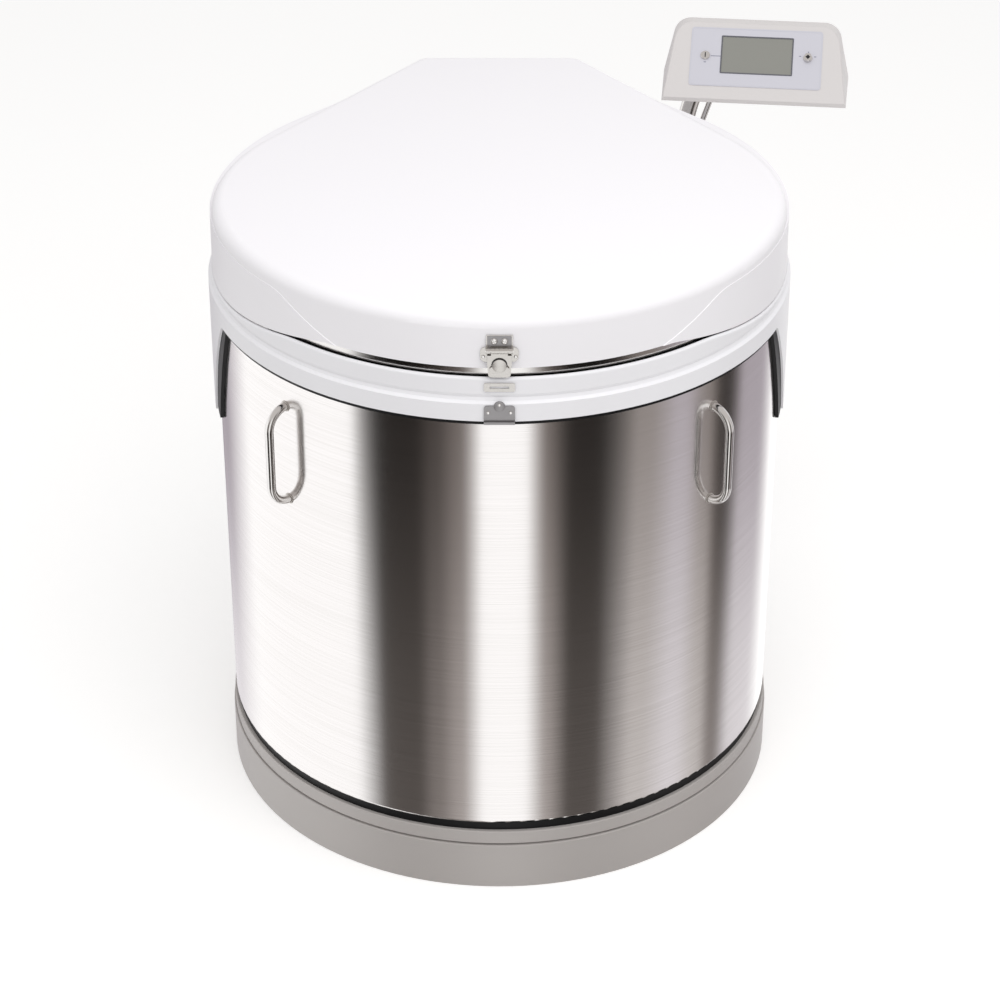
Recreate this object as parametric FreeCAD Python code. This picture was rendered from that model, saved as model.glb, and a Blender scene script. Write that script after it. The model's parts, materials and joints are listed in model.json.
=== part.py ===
import FreeCAD, Part
import math
import os

# Wide-mouth liquid nitrogen storage freezer: a vacuum-jacketed steel tank with
# a moulded shroud, a hinged insulated lid and a console on a swinging arm.
# Millimetres. The origin is on the tank's axis at the floor, the front faces -Y
# and +Z is up. Every sub-part is one STEP file in parts/.

V = FreeCAD.Vector
X_AXIS = V(1, 0, 0)
Y_AXIS = V(0, 1, 0)
Z_AXIS = V(0, 0, 1)

# Clearances and cutters
SEAT_GAP = 0.3            # between curved faces that only seat
RUN_GAP = 0.05            # radial clearance of a pin in its hole
FAR = 900.0               # reach of cutting bodies past the object
OVERCUT = 5.0             # how far a cutter runs past what it cuts
TOUCH = 0.01              # edges this close count as in one place
FUSE = 1.0                # how far joined forms run into each other

# Tank: radii inside the jacket's, outer face to outer face
JACKET_RADIUS = 535.0
JACKET_WALL = 3.0
JACKET_FLOOR = 4.0
JACKET_KNUCKLE = 6.0
NECK_Z = 1095.0           # top of jacket, vessel and liner
NECK_PLATE = 3.0
NECK_LIP = 20.0
VESSEL_IN = 50.0
VESSEL_WALL = 2.5
VESSEL_FLOOR = 3.0
VESSEL_KNUCKLE = 60.0
VACUUM_GAP = 58.0         # between the jacket's floor and the vessel's
LINER_IN = 88.0
LINER_WALL = 2.0
LINER_FLOOR = 2.5
LINER_KNUCKLE = 24.0
RESERVOIR_GAP = 30.0      # liquid space under the storage chamber
STAND_IN = 215.0
STAND_WALL = 20.0
VENT_COUNT = 12
VENT_RADIUS = 8.0
VENT_DROP = 45.0          # from the neck down to the vent holes
PLATFORM_IN = 15.0        # inside the liner's bore
PLATFORM_PLATE = 3.0
PLATFORM_HEIGHT = 55.0
PLATFORM_HOLE_RADIUS = 26.0
PLATFORM_PITCH = 150.0
PLATFORM_LEG_RADIUS = 12.0
PROBE_RADIUS = 6.0
PROBE_WALL = 1.5
PROBE_FLOOR = 4.0
PROBE_IN = 15.0           # probe's axis, inside the platform's edge
PROBE_DROP = 120.5        # probe's open end, under the neck
PORT_RISE = 90.0          # vacuum port's axis above the jacket's floor
PORT_RADIUS = 13.0
PORT_STEM = 14.0
PORT_CAP_RADIUS = 19.0
PORT_CAP = 10.0
PORT_ROUND = 2.5

# Base, by how far it stands proud of the jacket or inside it
SHEET = 3.0
SHEET_ROUND = 2.1
SKIRT_OUT = 6.0
SKIRT_HEIGHT = 97.0
SKIRT_LIP = 32.0
FLOOR_PLATE = 5.0
RIM_OUT = 3.0
RIM_HEIGHT = 31.0
RIM_FLANGE = 38.0
GROOVE_HEIGHT = 4.0
GROOVE_DEPTH = 5.0
BAND_HEIGHT = 17.0
BAND_IN = 4.5
BAND_WIDTH = 35.5

# Plan outlines of lid and shroud: tangent arcs by their radius past the jacket's and by the bearing
# from the front at which each ends, then a straight flank and a flat back
LID_OUT = (1.0, -110.0)
LID_TURNS = (70.0,)
LID_BACK_HALF = 160.0
SHROUD_OUT = 3.0
SHROUD_TURNS = (20.0, 72.0, 108.0)
SHROUD_BACK_HALF = 165.0
BACK_OUT = 73.5           # the flat back, behind the jacket
BACK_CORNER = 32.0

# Lid, by height over or under the tank's neck
LID_RISE = 127.0
LID_FRONT_RISE = 29.0     # lower edge at the front
LID_REAR_DROP = 14.0      # lower edge at the rear
LID_ROUND = 22.0
LID_WALL = 4.0
CREASE_RISE = 95.0        # ledge over the round skirt
CREASE_FRONT = 455.0      # how far ahead of the axis the ledge leaves the lower edge
CREASE_CLIMB = 37.0       # its climb from there, in degrees
CREASE_TURN = 60.0
SKIRT_DRAFT = 1.0         # inward lean of the lid's skirt up to the crease
PAN_IN = 5.0              # inside the jacket's radius
PAN_SHEET = 2.0
PAN_RISE = 10.0           # over the neck plate
PAN_RIM = 42.0
PLUG_IN = 13.0            # inside the liner's bore
PLUG_TAPER = 6.0
PLUG_DEPTH = 100.0
GASKET_IN = 2.0
GASKET_WIDTH = 28.0
GASKET_ROUND = 2.0
NECK_CLEARANCE = 1.2      # between the lid's skirt and the tank's neck
REAR_LINER_IN = 95.0      # its front edge, inside the jacket's radius
REAR_LINER_SHEET = 3.0
REAR_LINER_RISE = 2.0     # over the lid's lower edge
REAR_LINER_STEP = 1.0     # its step over the pan's underside

# Parting line between shroud and lid, seen from the side
PARTING_GAP = 3.0
PARTING_ARC = 1090.0
PARTING_Y = -139.0
PARTING_TURN_SHROUD = 200.0
PARTING_TURN_LID = 40.0

# Shroud
FRONT_GAP = 17.0          # in front, from the collar up to the lid
COLLAR_DEPTH = 54.0       # from the rear parting line down to the collar's foot
TIER_HEIGHT = 34.0
COLLAR_ROUND = 4.5
TIER_OUT = 8.0            # lower tier, proud of the shroud's radius
TIER_IN = 3.0             # upper tier
GROOVE_OUT = 0.8          # bottom of the moulded groove between the tiers
GROOVE_SLOPE = 3.0        # end of the groove's upper slope
GROOVE_RISE = (4.5, 10.5, 17.0)
SHROUD_WALL = 4.0
SHELF = 4.0
APRON_DROP = 234.0        # from the collar's foot down to the apron's
APRON_MIDDLE = 134.0      # where the apron's edge is given a second place
APRON_Y = (-196.0, -123.0, -85.0)
TRIM_Y = (-206.0, -156.0, -120.0)
APRON_CORNER = 14.0
TRIM_CORNER = 5.0
TRIM_OUT = 3.7
TRIM_HEIGHT = 8.0
TRIM_TUCK = 12.0

# Rear service panel and plumbing
PANEL_HALF = 115.0
PANEL_RISE = 40.0         # over the apron's foot
PANEL_HEIGHT = 155.0
PANEL_SHEET = 2.5
PANEL_CORNER = 8.0
PANEL_OPENING_INSET = 18.0
PANEL_SLOTS = 5
PANEL_SLOT_DROP = 26.0    # first slot, under the panel's top
PANEL_SLOT = (70.0, 5.0, 12.0)   # length, width, pitch
PANEL_SLOT_ROUND = 2.25
PANEL_SCREW_INSET = 9.0
SCREW_HEAD_RADIUS = 5.0
SCREW_HEAD_HEIGHT = 2.6
PIPE_RISE = 85.0          # inlet and vent, over the apron's foot
INLET_X = -62.0
INLET_RADIUS = 9.5
INLET_BORE = 4.5
INLET_BORE_DEPTH = 20.0
INLET_REACH = 34.0        # past the panel
INLET_CONE = (3.0, 6.0)   # narrowing, length
INLET_HEX = 13.0
INLET_NUT = (4.0, 12.0)   # from the panel, length
PIPE_RADIUS = 8.0
PANEL_HOLE_GAP = 1.0
VENT_X = 62.0
VENT_PIPE_RADIUS = 11.0
VENT_PIPE_WALL = 2.0
VENT_REACH = 6.0
VENT_BEND = 26.0
VENT_TAIL = 22.0
VENT_BORE = 14.0
VALVE_BACK = 12.0         # valve block behind the jacket
VALVE_BLOCK = 36.0
VALVE_ROUND = 3.0
COIL_RADIUS = 15.0
COIL_HEIGHT = 38.0

# Hinges
HINGE_X = 80.0
HINGE_WIDTH = 80.0
KNUCKLE_RADIUS = 6.5
HINGE_PIN_RADIUS = 4.0
HINGE_PIN_PROUD = 2.0
HINGE_LEAF = 3.5
HINGE_LEAF_HEIGHT = 58.0
LEAF_DROP = 1.5           # fixed leaf under the knuckles
LEAF_RISE = 2.5           # moving leaf over them
KNUCKLE_ROOT = 2.0        # leaf's edge from the pin's axis
KNUCKLE_GAP = 0.5
HINGE_SCREW_X = (-26.0, 0.0, 26.0)
HINGE_FRAME_HALF = 140.0
HINGE_FRAME_HEIGHT = 60.0
HINGE_FRAME_DROP = 6.0    # under the collar's ledge
HINGE_FRAME_PLATE = 5.0
HINGE_FRAME_DEEP = 54.0   # how far its webs start inside the jacket's radius

# Grab handles
HANDLE_BEARING = 45.8
HANDLE_ROD = 8.0
HANDLE_STANDOFF = 40.0
HANDLE_DROP = 66.0        # upper foot, under the collar's foot
HANDLE_SPAN = 193.0

# Latch, by height over the lid's front edge
LATCH_HALF = 23.0
LATCH_TOP = 65.0
LATCH_PLATE = 2.5
LATCH_WING_HALF = 33.0
LATCH_WING = (14.0, 42.0)
LATCH_WING_CORNER = 9.0
LATCH_FOOT = 6.0          # bracket's foot over the wings' foot
LATCH_BARREL = 38.0
LATCH_BARREL_RADIUS = 5.5
LATCH_BARREL_GAP = 0.2
LATCH_PIN_RADIUS = 2.2
LATCH_PIN_PROUD = 1.0
LATCH_EAR = 8.0           # width of each of the bracket's knuckles
LATCH_TONGUE_HALF = 21.0
LATCH_TONGUE_SHEET = 2.5
LATCH_TONGUE_IN = 1.0     # tongue's back ahead of the barrel's axis
LATCH_SHOULDER = 2.0
LATCH_TAB_HALF = 19.0
LATCH_TAB = -11.0
LATCH_TAB_CORNER = 5.0
LATCH_BOSS = 12.0
LATCH_BOSS_RADIUS = 13.0
LATCH_BOSS_HEIGHT = 3.0
LATCH_COIL = (0.55, 0.8, 0.8)   # grooves on the barrel: place along it, half width, depth
LATCH_SCREW_X = 9.0
LATCH_SCREW_RADIUS = 6.2
LATCH_SCREW_HEIGHT = 3.0
LATCH_RIVET_IN = 5.0      # rivets inside the wings' tips
LATCH_RIVET_RISE = 10.0   # and over their foot
KEEPER_HALF = 27.0
KEEPER_RISE = 2.0         # over the collar's foot
KEEPER_HEIGHT = 30.0
KEEPER_CORNER = 6.0
KEEPER_LIP = 5.0
KEEPER_LIP_OUT = 4.0
KEEPER_SHEET = 2.0
SLOT_PLATE_DROP = 9.0     # under the collar's top
SLOT_PLATE_HEIGHT = 16.5
SLOT_PLATE_CORNER = 3.0
SLOT = (0.62, 2.2)        # share of the plate's half width, half height
RIVET_X = 19.5
RIVET_RISE = 19.0
RIVET_RADIUS = 3.2
RIVET_HEIGHT = 1.6

# Console, in its own frame
CONSOLE_DROP = 53.5       # its underside, below the lid's top
CONSOLE_AHEAD = (112.12, -77.5)   # its lower front edge, from the arm's end
CONSOLE_YAW = -6.2
CONSOLE_HALF = 184.0
CONSOLE_FLARE = 4.0       # growth of the half width from the front to the back
CONSOLE_DEPTH = 160.0
CONSOLE_HEIGHT = 115.0
CONSOLE_SIDE_SLOPE = 0.22
CONSOLE_CORNER = 36.0
CONSOLE_LIP = 8.0
FACE_DEPTH = 136.0
CONSOLE_WALL = 3.5
CONSOLE_ROUND = 4.0
BACK_COVER = 4.0
OVERLAY_SIZE = (264.0, 133.0)
OVERLAY_UP = 95.0         # overlay's centre, up the face from the lip
OVERLAY_SHEET = 1.2
OVERLAY_CORNER = 7.0
SCREEN_SIZE = (140.0, 81.0)
SCREEN_SHIFT = (1.4, 5.6)
SCREEN_SHEET = 0.8
SCREEN_GAP = 0.2
KEY_SHIFT = (-102.0, 1.4)
KEY_RADIUS = 9.5
KEY_HEIGHT = 5.0
KEY_ROUND = 1.5
KEY_SLOT = (1.1, 5.5, 2.5)   # half width, half length, depth
KNOB_SHIFT = (103.5, 4.0)
KNOB_RADIUS = 9.0
KNOB_HEIGHT = 9.0
KNOB_ROUND = 1.2
KNOB_GRIP = 6.1           # half width of its grip across, less the cut's own half
KNOB_FOOT = 3.0
CONTROL_STEM = 4.0
CONTROL_STEM_LENGTH = 7.5
CONTROL_GAP = 0.6
CONTROL_LIFT = 0.2
CONSOLE_SCREW_RADIUS = 5.0
CONSOLE_SCREW_HEIGHT = 2.5
CONSOLE_SCREW_CHAMFER = 0.8
CONSOLE_SCREW_X = (160.0, 130.0)   # lower and upper pair
CONSOLE_SCREW_INSET = 20.0

# Console arm, its post standing off the shroud's flank
ARM_REACH = 109.065       # post's axis, from the flank
ARM_ALONG = 151.24        # and along it
POST_RADIUS = 17.5
POST_PROUD = 6.0          # under the socket
ARM_RISE = 142.5          # height of the bend, up to the flange
ARM_BEND = 446.0
FLANGE_RADIUS = 25.0
FLANGE_THICK = 5.0
SOCKET_RADIUS = 26.0
SOCKET_DROP = 62.0        # socket's mouth, under the collar's foot
SOCKET_HEIGHT = 58.0
STOP_RADIUS = 24.0
STOP_HEIGHT = 10.0
STOP_ROUND = 2.0
BRACKET_PLATE = (90.0, 110.0, 5.0)
BRACKET_CORNER = 8.0
BRACKET_BEAM = (34.0, 40.0)
BRACKET_RIB = 6.0
BRACKET_RIB_REACH = 0.6
BRACKET_SCREW_INSET = 12.0
BRACKET_SCREW_RADIUS = 6.0
BRACKET_SCREW_HEIGHT = 3.6
CONDUIT_RADIUS = 6.0
CONDUIT_LEAN = 0.315
CONDUIT_OUT = 39.0        # conduit's axis from the post's, at CONDUIT_DROP
CONDUIT_DROP = 75.5       # under the console
CONDUIT_ROOT = 80.0       # down from there to its end inside the post's wall
GLAND_RADIUS = 10.0
GLAND_HEIGHT = 12.0
GLAND_ROUND = 2.0

# Radii and heights that follow
SKIRT_RADIUS = JACKET_RADIUS + SKIRT_OUT
RIM_RADIUS = JACKET_RADIUS + RIM_OUT
RIM_INNER_RADIUS = RIM_RADIUS - RIM_FLANGE
BAND_RADIUS = JACKET_RADIUS - BAND_IN
VESSEL_RADIUS = JACKET_RADIUS - VESSEL_IN
LINER_RADIUS = JACKET_RADIUS - LINER_IN
STAND_RADIUS = JACKET_RADIUS - STAND_IN
LINER_BORE = LINER_RADIUS - LINER_WALL
PLATFORM_RADIUS = LINER_BORE - PLATFORM_IN
PROBE_Y = PLATFORM_RADIUS - PROBE_IN
PLUG_RADIUS = LINER_BORE - PLUG_IN
PAN_RADIUS = JACKET_RADIUS - PAN_IN
LID_RADII = tuple(JACKET_RADIUS + out for out in LID_OUT)
SHROUD_RADIUS = JACKET_RADIUS + SHROUD_OUT
BACK_Y = JACKET_RADIUS + BACK_OUT
SHROUD_BACK = BACK_Y + TIER_IN
REAR_LINER_Y = JACKET_RADIUS - REAR_LINER_IN
REAR_LINER_RADIUS = JACKET_RADIUS + NECK_CLEARANCE

RIM_Z = SKIRT_HEIGHT
BAND_Z = RIM_Z + RIM_HEIGHT
JACKET_Z = BAND_Z + BAND_HEIGHT
VESSEL_Z = JACKET_Z + JACKET_FLOOR + VACUUM_GAP
LINER_Z = VESSEL_Z + VESSEL_FLOOR + RESERVOIR_GAP
CHAMBER_Z = LINER_Z + LINER_FLOOR
PLATFORM_Z = CHAMBER_Z + PLATFORM_HEIGHT
NECK_TOP = NECK_Z + NECK_PLATE
PAN_Z = NECK_TOP + PAN_RISE
LID_TOP = NECK_Z + LID_RISE
LID_EDGE_FRONT = NECK_Z + LID_FRONT_RISE
LID_EDGE_REAR = NECK_Z - LID_REAR_DROP
CREASE_Z = NECK_Z + CREASE_RISE
COLLAR_TOP = LID_EDGE_FRONT - FRONT_GAP
COLLAR_REAR = LID_EDGE_REAR - PARTING_GAP
COLLAR_BOTTOM = COLLAR_REAR - COLLAR_DEPTH
COLLAR_LEDGE = COLLAR_BOTTOM + TIER_HEIGHT
GROOVE_Z = tuple(COLLAR_LEDGE + rise for rise in GROOVE_RISE)
APRON_BOTTOM = COLLAR_BOTTOM - APRON_DROP
APRON_Z = (COLLAR_BOTTOM, COLLAR_BOTTOM - APRON_MIDDLE, APRON_BOTTOM)
TRIM_Z = (COLLAR_BOTTOM - TRIM_HEIGHT, COLLAR_BOTTOM - APRON_MIDDLE, APRON_BOTTOM)
PANEL_Z = (APRON_BOTTOM + PANEL_RISE, APRON_BOTTOM + PANEL_RISE + PANEL_HEIGHT)
PIPE_Z = APRON_BOTTOM + PIPE_RISE
HINGE_Y = SHROUD_BACK + KNUCKLE_RADIUS + KNUCKLE_GAP
HINGE_Z = 0.5 * (COLLAR_REAR + LID_EDGE_REAR)
FIXED_LEAF_TOP = HINGE_Z - KNUCKLE_RADIUS - LEAF_DROP
MOVING_LEAF_BOTTOM = HINGE_Z + KNUCKLE_RADIUS + LEAF_RISE
HINGE_FRAME_TOP = COLLAR_LEDGE - HINGE_FRAME_DROP
HANDLE_TOP = COLLAR_BOTTOM - HANDLE_DROP

LATCH_FACE = -LID_RADII[0]
LATCH_AXIS_Y = LATCH_FACE - LATCH_PLATE - LATCH_BARREL_RADIUS - LATCH_BARREL_GAP
LATCH_AXIS_Z = LID_EDGE_FRONT + LATCH_BARREL
LATCH_WING_Z = LID_EDGE_FRONT + LATCH_WING[0]
LATCH_BOSS_Z = LID_EDGE_FRONT + LATCH_BOSS
LATCH_TAB_Z = LID_EDGE_FRONT + LATCH_TAB
KEEPER_Z = COLLAR_BOTTOM + KEEPER_RISE
SLOT_PLATE_TOP = COLLAR_TOP - SLOT_PLATE_DROP

SOCKET_TOP = COLLAR_BOTTOM - SOCKET_DROP
SOCKET_BOTTOM = SOCKET_TOP - SOCKET_HEIGHT
CONSOLE_Z = LID_TOP - CONSOLE_DROP
ARM_TOP = CONSOLE_Z - FLANGE_THICK
ARM_ANGLE = math.asin(ARM_RISE / ARM_BEND)
FLANK_BEARING = math.degrees(math.atan2(BACK_Y, SHROUD_BACK_HALF)
                             + math.asin(SHROUD_RADIUS / math.hypot(SHROUD_BACK_HALF, BACK_Y)))
FLANK_OUT = V(math.sin(math.radians(FLANK_BEARING)), -math.cos(math.radians(FLANK_BEARING)), 0)
FLANK_ALONG = V(-FLANK_OUT.y, FLANK_OUT.x, 0)
POST = FLANK_OUT * (SHROUD_RADIUS + TIER_OUT + ARM_REACH) + FLANK_ALONG * ARM_ALONG
ARM_END = V(POST.x + ARM_BEND * (1 - math.cos(ARM_ANGLE)), POST.y, ARM_TOP)
CONSOLE_ORIGIN = V(ARM_END.x + CONSOLE_AHEAD[0], ARM_END.y + CONSOLE_AHEAD[1], CONSOLE_Z)


def save(shape, name):
    """Write one sub-part, and stop if it isn't a sound solid."""
    solids = shape.Solids
    if not solids:
        raise ValueError(name + " has no solid")
    if len(solids) == 1:
        shape = solids[0]
    if not shape.isValid():
        raise ValueError(name + " isn't valid")
    shape.exportStep("parts/" + name + ".step")
    print(f"{name:24s} solids {len(solids)} volume {shape.Volume / 1000:12.1f} cm3")


def block(x0, x1, y0, y1, z0, z1):
    return Part.makeBox(x1 - x0, y1 - y0, z1 - z0, V(x0, y0, z0))


def cylinder(radius, base, top):
    run = top - base
    return Part.makeCylinder(radius, run.Length, base, run)


def disc(radius, z0, z1, x=0.0, y=0.0):
    return cylinder(radius, V(x, y, z0), V(x, y, z1))


def tube(outer, inner, z0, z1):
    return disc(outer, z0, z1).cut(disc(inner, z0 - OVERCUT, z1 + OVERCUT))


def revolve(profile):
    """A solid of revolution about the tank's axis from (radius, height) points."""
    points = [V(r, 0, z) for r, z in profile]
    face = Part.Face(Part.makePolygon(points + points[:1]))
    return face.revolve(V(0, 0, 0), Z_AXIS, 360)


def prism(points, direction):
    return Part.Face(Part.makePolygon(points + points[:1])).extrude(direction)


def edges_where(shape, test):
    return [edge for edge in shape.Edges if test(edge)]


def flat_at(z):
    """Pick edges that lie at one height."""
    def test(edge):
        box = edge.BoundBox
        return abs(box.ZMin - z) < TOUCH and abs(box.ZMax - z) < TOUCH
    return test


def across(edge):
    """Pick the edges of a plate that run through it along Y."""
    box = edge.BoundBox
    return box.YLength > TOUCH and box.XLength < TOUCH and box.ZLength < TOUCH


def vessel(radius, wall, floor, knuckle, z0, z1):
    """An open-topped drum with a rounded lower corner."""
    outer = disc(radius, z0, z1)
    outer = outer.makeFillet(knuckle, edges_where(outer, flat_at(z0)))
    inner = disc(radius - wall, z0 + floor, z1 + OVERCUT)
    inner = inner.makeFillet(knuckle - wall, edges_where(inner, flat_at(z0 + floor)))
    return outer.cut(inner)


def bearing(degrees):
    """Unit vector in plan, measured from the front towards +X."""
    angle = math.radians(degrees)
    return V(math.sin(angle), -math.cos(angle), 0)


def plan_outline(radii, turns, back_half, offset, z, back_offset=None):
    """The lid's or shroud's closed plan: tangent arcs, a straight flank, a flat back.

    offset moves every side outwards; back_offset moves the flat back by its own amount.
    """
    if back_offset is None:
        back_offset = offset
    centre = V(0, 0, 0)
    points = [centre + bearing(0) * (radii[0] + offset)]
    arcs = []
    start = 0.0
    for index, radius in enumerate(radii):
        if index:
            centre = centre + bearing(start) * (radii[index - 1] - radius)
        if index < len(turns):
            end = turns[index]
        else:
            reach = V(back_half, BACK_Y, 0) - centre
            end = math.degrees(math.atan2(reach.y, reach.x) + math.asin(radius / reach.Length))
        size = radius + offset
        arcs.append((centre + bearing(0.5 * (start + end)) * size, centre + bearing(end) * size))
        start = end
    flank = bearing(start)
    line = flank.dot(centre) + radii[-1] + offset
    corner = BACK_CORNER + offset
    corner_y = BACK_Y + back_offset - corner
    corner_x = (line - corner - flank.y * corner_y) / flank.x
    hub = V(corner_x, corner_y, 0)
    flank_end = hub + flank * corner
    corner_mid = hub + bearing(0.5 * (start + 180)) * corner
    back_start = hub + Y_AXIS * corner
    back_mid = V(0, back_start.y, 0)

    def lift(point, side):
        return V(point.x * side, point.y, z)

    edges = []
    for side in (1, -1):
        half = []
        here = points[0]
        for middle, end in arcs:
            half.append(Part.Arc(lift(here, side), lift(middle, side), lift(end, side)).toShape())
            here = end
        half.append(Part.LineSegment(lift(here, side), lift(flank_end, side)).toShape())
        rounding = Part.Arc(lift(flank_end, side), lift(corner_mid, side), lift(back_start, side))
        half.append(rounding.toShape())
        half.append(Part.LineSegment(lift(back_start, side), lift(back_mid, side)).toShape())
        if side == -1:
            half.reverse()
        edges.extend(half)
    return Part.Wire(Part.__sortEdges__(edges))


def lid_plan(offset, z):
    return plan_outline(LID_RADII, LID_TURNS, LID_BACK_HALF, offset, z)


def shroud_plan(offset, z, back_offset=None):
    radii = (SHROUD_RADIUS,) * (len(SHROUD_TURNS) + 1)
    return plan_outline(radii, SHROUD_TURNS, SHROUD_BACK_HALF, offset, z, back_offset)


def extrude_plan(wire, height):
    return Part.Face(wire).extrude(Z_AXIS * height)


def side_form(edges):
    """A form of one cross-section seen from the side, right across the object."""
    wire = Part.Wire([edge.toShape() for edge in edges])
    return Part.Face(wire).extrude(X_AXIS * 2 * FAR)


def below_parting(z_front, z_rear, arc, turn):
    """Everything under the parting line: level, a turn, a long rise, level."""
    centre_z = z_rear + arc
    hub_y = PARTING_Y - math.sqrt((arc + turn) ** 2 - (centre_z - z_front + turn) ** 2)
    hub = V(-FAR, hub_y, z_front - turn)
    centre = V(-FAR, PARTING_Y, centre_z)
    swing = (hub - centre).normalize()
    meet = centre + swing * arc
    crest = V(-FAR, hub_y, z_front)
    turn_mid = hub + ((crest - hub) + (meet - hub)).normalize() * turn
    foot = V(-FAR, PARTING_Y, z_rear)
    arc_mid = centre + ((meet - centre) + (foot - centre)).normalize() * arc
    front = V(-FAR, -FAR, z_front)
    rear = V(-FAR, FAR, z_rear)
    return side_form([
        Part.LineSegment(front, crest),
        Part.Arc(crest, turn_mid, meet),
        Part.Arc(meet, arc_mid, foot),
        Part.LineSegment(foot, rear),
        Part.LineSegment(rear, V(-FAR, FAR, 0)),
        Part.LineSegment(V(-FAR, FAR, 0), V(-FAR, -FAR, 0)),
        Part.LineSegment(V(-FAR, -FAR, 0), front),
    ])


def below_crease(inset, low):
    """Everything under the ledge that climbs from the lid's lower edge and then runs level."""
    climb = math.radians(CREASE_CLIMB)
    way = V(0, math.cos(climb), math.sin(climb))
    start = V(-FAR, -CREASE_FRONT, LID_EDGE_FRONT) + V(0, way.z, -way.y) * inset
    top = CREASE_Z - inset
    turn = CREASE_TURN - inset
    corner = start + way * ((top - start.z) / way.z)
    run = turn * math.tan(0.5 * climb)
    turn_start = corner - way * run
    turn_end = corner + Y_AXIS * run
    hub = turn_end - Z_AXIS * turn
    middle = hub + ((turn_start - hub) + (turn_end - hub)).normalize() * turn
    foot = start - way * ((start.z - low + OVERCUT) / way.z)
    rear = V(-FAR, FAR, top)
    rear_foot = V(-FAR, FAR, foot.z)
    return side_form([
        Part.LineSegment(foot, turn_start),
        Part.Arc(turn_start, middle, turn_end),
        Part.LineSegment(turn_end, rear),
        Part.LineSegment(rear, rear_foot),
        Part.LineSegment(rear_foot, foot),
    ])


def ahead_of(curve, top, corner):
    """Everything in front of an edge curve seen from the side, up to a height."""
    first, middle, last = (V(-FAR, y, z) for y, z in curve)
    slope = (middle - first).y / (middle - first).z
    start = V(-FAR, first.y + (top - first.z) * slope, top)
    bottom = V(-FAR, last.y, last.z - OVERCUT)
    front_foot = V(-FAR, -FAR, bottom.z)
    front_top = V(-FAR, -FAR, top)
    solid = side_form([
        Part.Arc(start, middle, last),
        Part.LineSegment(last, bottom),
        Part.LineSegment(bottom, front_foot),
        Part.LineSegment(front_foot, front_top),
        Part.LineSegment(front_top, start),
    ])
    if corner:
        def at_corner(edge):
            box = edge.BoundBox
            return box.XLength > FAR and abs(box.YMin - start.y) < TOUCH and abs(box.ZMin - top) < TOUCH
        solid = solid.makeFillet(corner, edges_where(solid, at_corner))
    return solid


def dome(radius, height, at, direction):
    """A low round screw or rivet head."""
    ball = (radius ** 2 + height ** 2) / (2 * height)
    top = at + direction * height
    body = Part.makeSphere(ball, top - direction * ball)
    return body.common(cylinder(radius, at, top + direction))


def group(shapes):
    return Part.makeCompound(shapes)


def swept_rod(wire, radius):
    first = wire.OrderedEdges[0]
    start = wire.OrderedVertexes[0].Point
    tangent = first.tangentAt(first.getParameterByLength(0))
    profile = Part.Wire([Part.makeCircle(radius, start, tangent)])
    return wire.makePipeShell([profile], True, True)


# Base: floor plate, rolled skirt, rim channel and isolating band

def make_floor_plate():
    return disc(SKIRT_RADIUS - SHEET - SEAT_GAP, 0, FLOOR_PLATE)


def make_skirt():
    inner = SKIRT_RADIUS - SHEET
    body = revolve([
        (SKIRT_RADIUS, 0), (SKIRT_RADIUS, SKIRT_HEIGHT), (inner - SKIRT_LIP, SKIRT_HEIGHT),
        (inner - SKIRT_LIP, SKIRT_HEIGHT - SHEET), (inner, SKIRT_HEIGHT - SHEET), (inner, 0),
    ])
    return body.makeFillet(SHEET_ROUND, edges_where(body, lambda edge: flat_at(SKIRT_HEIGHT)(edge)
                                                    and edge.BoundBox.XMax > inner))


def make_rim():
    groove = RIM_RADIUS - GROOVE_DEPTH
    step = RIM_Z + GROOVE_HEIGHT
    body = revolve([
        (groove, RIM_Z), (groove, step), (RIM_RADIUS, step), (RIM_RADIUS, BAND_Z),
        (RIM_INNER_RADIUS, BAND_Z), (RIM_INNER_RADIUS, BAND_Z - SHEET), (RIM_RADIUS - SHEET, BAND_Z - SHEET),
        (RIM_RADIUS - SHEET, step + SHEET), (groove - SHEET, step + SHEET), (groove - SHEET, RIM_Z + SHEET),
        (RIM_INNER_RADIUS, RIM_Z + SHEET), (RIM_INNER_RADIUS, RIM_Z),
    ])
    return body.makeFillet(SHEET_ROUND, edges_where(body, lambda edge: flat_at(BAND_Z)(edge)
                                                    and edge.BoundBox.XMax > RIM_RADIUS - SHEET))


def make_isolating_band():
    return tube(BAND_RADIUS, BAND_RADIUS - BAND_WIDTH, BAND_Z, JACKET_Z)


# Tank: vacuum jacket, inner vessel, storage liner and the neck that joins them

def make_storage_liner():
    body = vessel(LINER_RADIUS, LINER_WALL, LINER_FLOOR, LINER_KNUCKLE, LINER_Z, NECK_Z)
    level = Z_AXIS * (NECK_Z - VENT_DROP)
    holes = []
    for index in range(VENT_COUNT):
        way = bearing((index + 0.5) * 360 / VENT_COUNT)
        inside = way * (LINER_BORE - OVERCUT) + level
        outside = way * (LINER_RADIUS + OVERCUT) + level
        holes.append(cylinder(VENT_RADIUS, inside, outside))
    return body.cut(group(holes))


def make_neck_flange():
    lip = LINER_BORE - SEAT_GAP
    inner = LINER_BORE - SHEET
    return revolve([
        (inner, NECK_TOP), (JACKET_RADIUS, NECK_TOP), (JACKET_RADIUS, NECK_Z),
        (lip, NECK_Z), (lip, NECK_Z - NECK_LIP), (inner, NECK_Z - NECK_LIP),
    ])


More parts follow.
